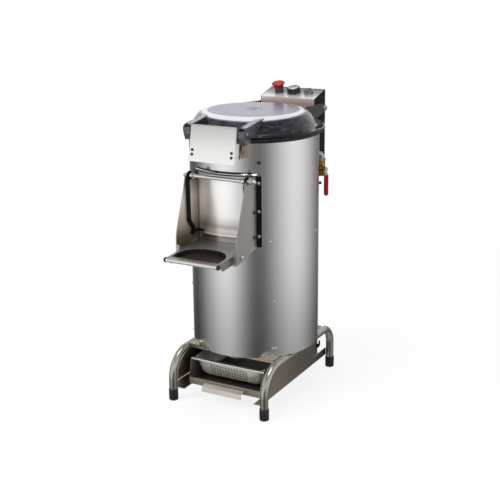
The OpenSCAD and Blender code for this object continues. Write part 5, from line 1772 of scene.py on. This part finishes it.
    def cover_screws(self) -> Skin:
        """Six low screws round the rear cover, and two on each side of the column.

        Returns:
            The surface.
        """
        head = socket_screw(3.4, 0.8, 1.8)
        rear = [head.placed((x, self.back - 0.95, z), TO_REAR)
                for x in (-82, 82) for z in (self.foot + 12, self.foot + 105, self.crest - 10)]
        pan = socket_screw(3.6, 1.8, 1.9)
        side = [pan.placed((self.half - 0.05, self.back - 20, z), TO_RIGHT)
                for z in (self.foot + 20, self.foot + 120)]
        return joined([*rear, joined(side).both()])

    def build(self) -> None:
        """Makes the column's and the controls' pieces."""
        put, soften = self.bench.put, self.bench.soften
        column = soften("control_column", COLUMN_COAT, 1.0)
        self.bench.drawn_in(column, self.front, self.back, self.back - self.cover_t)
        put("column_cover", self.cover(), COLUMN_COAT, "control_column", bevel=0.4)
        put("column_screws", self.cover_screws(), DARK_STEEL, "control_column", angle=40,
            slot="dark_fasteners")
        self.bench.soften_all(
            ("control_panel", PANEL_STEEL, 0.9), ("column_brackets", SHEET_STEEL, 0.6),
            ("hinge_bolts", FASTENER, 0.8), ("cable_gland", BLACK_ABS, 0.5))
        for name, skin, number, finish, node, hides, slot in (
                ("stop_mushroom", self.stop(), 0, RED_ABS, "estop_button", True, ""),
                ("stop_sleeve", self.collar(), 0, GREY_ABS, "estop_collar", True, ""),
                ("timer_grip", self.knob(), 1, BLACK_ABS, "timer_knob", True, ""),
                ("timer_inlay", self.knob_face(), 1, INLAY, "timer_knob", False, "polished_steel"),
                ("timer_pointer", self.pointer(), 1, BLACK_ABS, "timer_knob", False, ""),
                ("timer_marks", self.ticks(), 1, PRINT, "control_panel", False, "black_plastic"),
                ("start_cap", self.start_cap(), 2, GREEN_CAP, "start_button", True, ""),
                ("start_ring", self.bezel(), 2, CHROME, "start_bezel", True, "")):
            put(name, self.on_panel(skin, number), finish, node, hides, slot=slot)


@dataclass
class Water:
    """The bent inlet pipe, its ball valve and the red-sleeved lever."""

    bench: Bench

    def build(self) -> None:
        """Makes the water inlet's pieces."""
        self.bench.soften_all(("water_pipe", PIPE_STEEL, 0.6), ("valve_body", BRASS, 0.8),
                              ("valve_lever", PIPE_STEEL, 0.6))
        self.bench.soften("lever_sleeve", RED_VINYL, 1.2, 3)


@dataclass
class Drive:
    """The motor, belt, shaft and disc under and in the chamber."""

    bench: Bench

    def build(self) -> None:
        """Makes the drive's pieces."""
        self.bench.soften_all(
            ("motor", MOTOR_COAT, 0.8), ("motor_plate", SHEET_STEEL, 0.6),
            ("bearing_housing", CAST_IRON, 1.0), ("shaft_bearings", GROUND_STEEL, 0.5),
            ("belt", SEAL_RUBBER, 0.5), ("waste_duct", DUCT_PVC, 0.8),
            ("abrasive_disc", GRIT, 1.0), ("drive_shaft", GROUND_STEEL, 0.6),
            ("driven_pulley", CAST_IRON, 0.6), ("motor_rotor", GROUND_STEEL, 0.5))


@dataclass
class Drawer:
    """The drawer under the drum, with its bent handle and the perforated pan in it."""

    bench: Bench
    rim_half: float = 124.6
    rim_front: float = -183.6
    rim_rear: float = 131.6
    rim_z: float = 121.0
    rim_r: float = 1.5
    strip_half: float = 127.0
    floor_z: float = 69.6
    hole_r: float = 2.7
    hole_pitch: tuple[float, float] = (10.0, 8.4)

    def rim(self) -> Skin:
        """Carries a small circle round the pan's rim: the rolled edge, with rounded corners.

        Returns:
            The surface.
        """
        half, front, rear = self.rim_half, self.rim_front, self.rim_rear
        flat = rounded(box_outline(-half, half, front, rear), 28, 12)
        path = np.hstack([flat, np.full((len(flat), 1), self.rim_z)])
        return sweep(circle(self.rim_r, 12), path, (0, 0, 1), loop=True)

    def rim_strip(self) -> Skin:
        """The pan's front flange: a flat strip as wide as the drawer, with a rolled front edge.

        Returns:
            The surface.
        """
        y, z, r = self.rim_front - 0.4, self.rim_z, self.rim_r
        outline = rounded([(y - r, z - 3.4), (y + r, z - 3.4), (y + r, z + 0.2), (y + 9, z + 0.2),
                           (y + 9, z + r), (y - r, z + r)], [1.2, 1.0, 0.1, 0.4, 0.4, 1.2], 6)
        return slab(outline, -self.strip_half, self.strip_half)

    def floor_holes(self) -> Skin:
        """The rows of drain holes in the pan's floor, each a dark disc let into the sheet: painted
        shade in place of an open hole.

        Returns:
            The surface.
        """
        hole = slab(circle(self.hole_r, 10), self.floor_z - 0.3, self.floor_z + 0.06, "z")
        across, deep = self.hole_pitch
        return joined([hole.placed((x, y, 0)) for y in np.arange(-148, 100, deep)
                       for x in np.arange(-90, 91, across)])

    def build(self) -> None:
        """Makes the drawer's pieces."""
        bench = self.bench
        bench.soften_all(("drawer_tray", DRAWER_STEEL, 0.8), ("filter_pan", PAN_STEEL, 0.6))
        bench.put("pan_rim_roll", self.rim(), POLISHED, "filter_pan", slot="pan_steel")
        bench.put("pan_front_strip", self.rim_strip(), SATIN_STEEL, "filter_pan", slot="pan_steel")
        bench.put("pan_floor_holes", self.floor_holes(), HOLE_SHADE, "filter_pan",
                  slot="black_metal")


# ------------------------------------------------------------------ camera, floor and light

# The soft cards of the studio: an angle from the camera's way in degrees, and the tone there.
CARDS = ((-180, 0.60), (-168, 0.42), (-150, 0.16), (-130, 0.10), (-109, 0.30), (-90, 0.64),
         (-75, 0.94), (-62, 1.14), (-50, 1.20), (-38, 1.02), (-27, 0.70), (-16, 0.40), (-5, 0.21),
         (5, 0.16), (15, 0.22), (26, 0.38), (37, 0.60), (49, 0.81), (61, 0.98), (73, 1.06),
         (87, 0.99), (102, 0.77), (121, 0.46), (137, 0.26), (152, 0.18), (168, 0.42), (180, 0.60))
# The floor cloth, the white band and the ceiling: a height in degrees, and the tone there.
CLOTHS = ((-90, 0.50), (-50, 0.50), (-38, 0.42), (-30, 0.36), (-25.3, 0.42), (-23.5, 0.52),
          (-21.6, 0.66), (-19.9, 0.80), (-18.3, 0.88), (-15.9, 0.95), (-8, 1.0), (4, 1.0),
          (24, 1.0), (34, 0.74), (44, 0.45), (62, 0.40), (74, 0.8), (90, 1.0))
# How much of a card's tone shows at a height in degrees: none below and above.
CARD_SHARE = ((-50, 0), (-34, 1), (2, 1), (8, 0))


def curve(at: np.ndarray, points: Sequence[tuple[float, float]]) -> np.ndarray:
    """Reads a curve, given as its points, at each place of an array."""
    return np.interp(at, *zip(*points))


def empty_tree(owner: bpy.types.Material | bpy.types.World) -> bpy.types.NodeTree:
    """Gives a material's or a world's node tree with nothing in it.

    Args:
        owner: the material or the world.

    Returns:
        The empty tree.
    """
    owner.use_nodes = True
    owner.node_tree.nodes.clear()
    return owner.node_tree


def mixed_for_sight(tree: bpy.types.NodeTree, plain: Socket, white: Socket,
                    share: Socket | None = None) -> Socket:
    """Shows a white shader to the camera, gloss and clear plastic, and a plain one to other rays.

    Args:
        tree: the node tree.
        plain: the plain shader.
        white: the white one.
        share: how much of the white those rays see, 1 if it is left out.

    Returns:
        The mixed shader.
    """
    path = add_node(tree, "LightPath").outputs
    seen = add_node(tree, "Math", {0: path["Is Camera Ray"], 1: path["Is Glossy Ray"]},
                    operation="ADD")
    factor = add_node(tree, "Math", {0: seen.outputs[0], 1: path["Is Transmission Ray"]},
                      operation="ADD", use_clamp=True)
    if share is not None:
        factor = add_node(tree, "Math", {0: factor.outputs[0], 1: share}, operation="MULTIPLY")
    return add_node(tree, "MixShader", {0: factor.outputs[0], 1: plain, 2: white}).outputs[0]


@dataclass
class Studio:
    """A pale floor, a white backdrop, soft lamps and the camera.

    The camera's place is in millimetres in the drum's frame, and its three angles in degrees.
    """

    axis: Vector
    camera_mm: tuple[float, float, float] = (1485.0, -2706.0, 1358.0)
    yaw: float = 29.056
    pitch: float = 16.63
    roll: float = -0.666
    lens: float = 75.08

    def camera(self) -> None:
        """Makes the camera from its place and its three angles."""
        a, e, r = (math.radians(v) for v in (self.yaw, self.pitch, self.roll))
        back = Vector((math.sin(a) * math.cos(e), -math.cos(a) * math.cos(e), math.sin(e)))
        right = Vector((math.cos(a), math.sin(a), 0.0))
        up = back.cross(right)
        across = math.cos(r) * right + math.sin(r) * up
        upward = -math.sin(r) * right + math.cos(r) * up
        data = bpy.data.cameras.new("camera")
        data.sensor_width = 36.0
        data.lens = self.lens
        data.clip_end = 50.0
        made = linked("camera", data)
        turn = Matrix((across, upward, back)).transposed().to_4x4()
        made.matrix_world = Matrix.Translation(self.axis + Vector(self.camera_mm) * MM) @ turn
        bpy.context.scene.camera = made

    def surround(self) -> None:
        """Hangs the studio's cards and cloths in a wide dome that only gloss sees.

        The tone at an angle and a height is a curve's value at the angle, drawn towards 1 above and
        below, times a curve's value at the height. Two bright soft cards stand in front at the left
        and the right and one behind, with black cloth between. The floor cloth is darker, and a
        white band over the horizon ends in a darker ceiling with a soft light in its middle.
        """
        columns, radius, middle = 144, 4.0, 0.5
        rise = np.concatenate([[-89.9, -70, -55], np.arange(-46, -8, 1.5), np.arange(-8, 88, 3),
                               [89.9]])
        angle, tall = angles(columns), np.radians(rise)[:, None]
        points = np.stack(np.broadcast_arrays(radius * np.cos(tall) * np.cos(angle),
                                              radius * np.cos(tall) * np.sin(angle),
                                              middle + radius * np.sin(tall)), -1)
        skin = patch(points + np.array(self.axis), loop_columns=True)
        mesh = bpy.data.meshes.new("studio_cards")
        mesh.from_pydata(skin.points.tolist(), [], skin.faces)
        ahead = np.mod(np.degrees(angle) + 90 - self.yaw + 180, 360) - 180
        share = curve(rise, CARD_SHARE)[:, None]
        bright = curve(rise, CLOTHS)[:, None] * (1 + share * (curve(ahead, CARDS) - 1))
        colour = np.stack([bright, bright, bright, 1 + 0 * bright], -1)
        layer = mesh.color_attributes.new("tone", "FLOAT_COLOR", "POINT")
        layer.data.foreach_set("color", colour.reshape(-1))
        material = bpy.data.materials.new("studio_card_light")
        tree = empty_tree(material)
        tones = add_node(tree, "Attribute", attribute_name="tone")
        glow = add_node(tree, "Emission", {"Color": tones.outputs["Color"], "Strength": 1.0})
        add_node(tree, "OutputMaterial", {"Surface": glow.outputs[0]})
        mesh.materials.append(material)
        made = linked("studio_cards", mesh)
        made.visible_camera = made.visible_diffuse = made.visible_shadow = False
        made.visible_transmission = made.visible_volume_scatter = False

    def world(self) -> None:
        """Lights the object plainly, and shows white to the camera and to gloss."""
        world = bpy.data.worlds.new("studio")
        bpy.context.scene.world = world
        tree = empty_tree(world)
        plain, white = (add_node(tree, "Background", {"Color": (1, 1, 1, 1), "Strength": power}
                                 ).outputs[0] for power in (0.55, 1.0))
        add_node(tree, "OutputWorld", {"Surface": mixed_for_sight(tree, plain, white)})

    def floor(self) -> None:
        """Lays a wide pale floor that keeps a soft shadow and turns white further out."""
        half = 60.0
        mesh = bpy.data.meshes.new("floor")
        mesh.from_pydata([(-half, -half, 0), (half, -half, 0), (half, half, 0), (-half, half, 0)],
                         [], [(0, 1, 2, 3)])
        made = linked("floor", mesh)
        material = bpy.data.materials.new("white_paper_floor")
        material.use_nodes = True
        tree = material.node_tree
        shader = tree.nodes["Principled BSDF"]
        fill(tree, shader, {"Base Color": linear("f4f4f4"), "Roughness": 0.9})
        glow = add_node(tree, "Emission", {"Color": (1, 1, 1, 1), "Strength": 1.0})
        graph = Graph(tree, shader)
        away = add_node(tree, "VectorMath", {0: graph.place()}, operation="LENGTH")
        fade = graph.span(away.outputs["Value"], 0.84, 1.0, 0.5, 2.2)
        mixed = mixed_for_sight(tree, shader.outputs[0], glow.outputs[0], fade)
        fill(tree, tree.nodes["Material Output"], {"Surface": mixed})
        mesh.materials.append(material)
        made.visible_glossy = False

    def lamp(self, name: str, place: tuple[float, float, float], aim: tuple[float, float, float],
             size: tuple[float, float], power: float, mirrored: bool = False) -> None:
        """Hangs one soft rectangular lamp.

        Args:
            name: the lamp's name.
            place: where it hangs, in metres.
            aim: the point it faces, in metres.
            size: its width and height in metres.
            power: watts.
            mirrored: whether gloss shows the lamp itself.
        """
        data = bpy.data.lights.new(name, "AREA")
        data.shape = "RECTANGLE"
        data.size, data.size_y = size
        data.energy = power
        made = linked(name, data)
        made.location = place
        made.visible_glossy = mirrored
        made.rotation_mode = "QUATERNION"
        made.rotation_quaternion = (Vector(aim) - Vector(place)).to_track_quat("-Z", "Y")

    def build(self) -> None:
        """Sets up everything round the object."""
        self.camera()
        self.world()
        self.floor()
        self.surround()
        self.lamp("key", (-1.6, -2.6, 2.6), (0, 0, 0.5), (1.4, 1.4), 60)
        self.lamp("fill", (2.8, -1.6, 1.8), (0, 0, 0.5), (1.6, 1.6), 25)
        self.lamp("top", (0.1, -0.35, 3.2), (0, 0, 0.5), (1.3, 1.3), 40, mirrored=True)


def main() -> None:
    logging.basicConfig(level=logging.INFO, format="%(message)s")
    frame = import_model()
    bpy.context.scene.view_settings.view_transform = "Standard"
    low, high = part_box("outer_shell")
    axis = Vector(((low.x + high.x) / 2, (low.y + high.y) / 2, 0.0))
    Studio(axis).build()
    bench = Bench(frame["nodes"], frame["record"], axis)
    for part in (Stand, Drum, Chute, Lid, Column, Water, Drive, Drawer):
        LOG.info("-- %s", part.__name__.lower())
        part(bench).build()


if __name__ == "__main__":
    main()
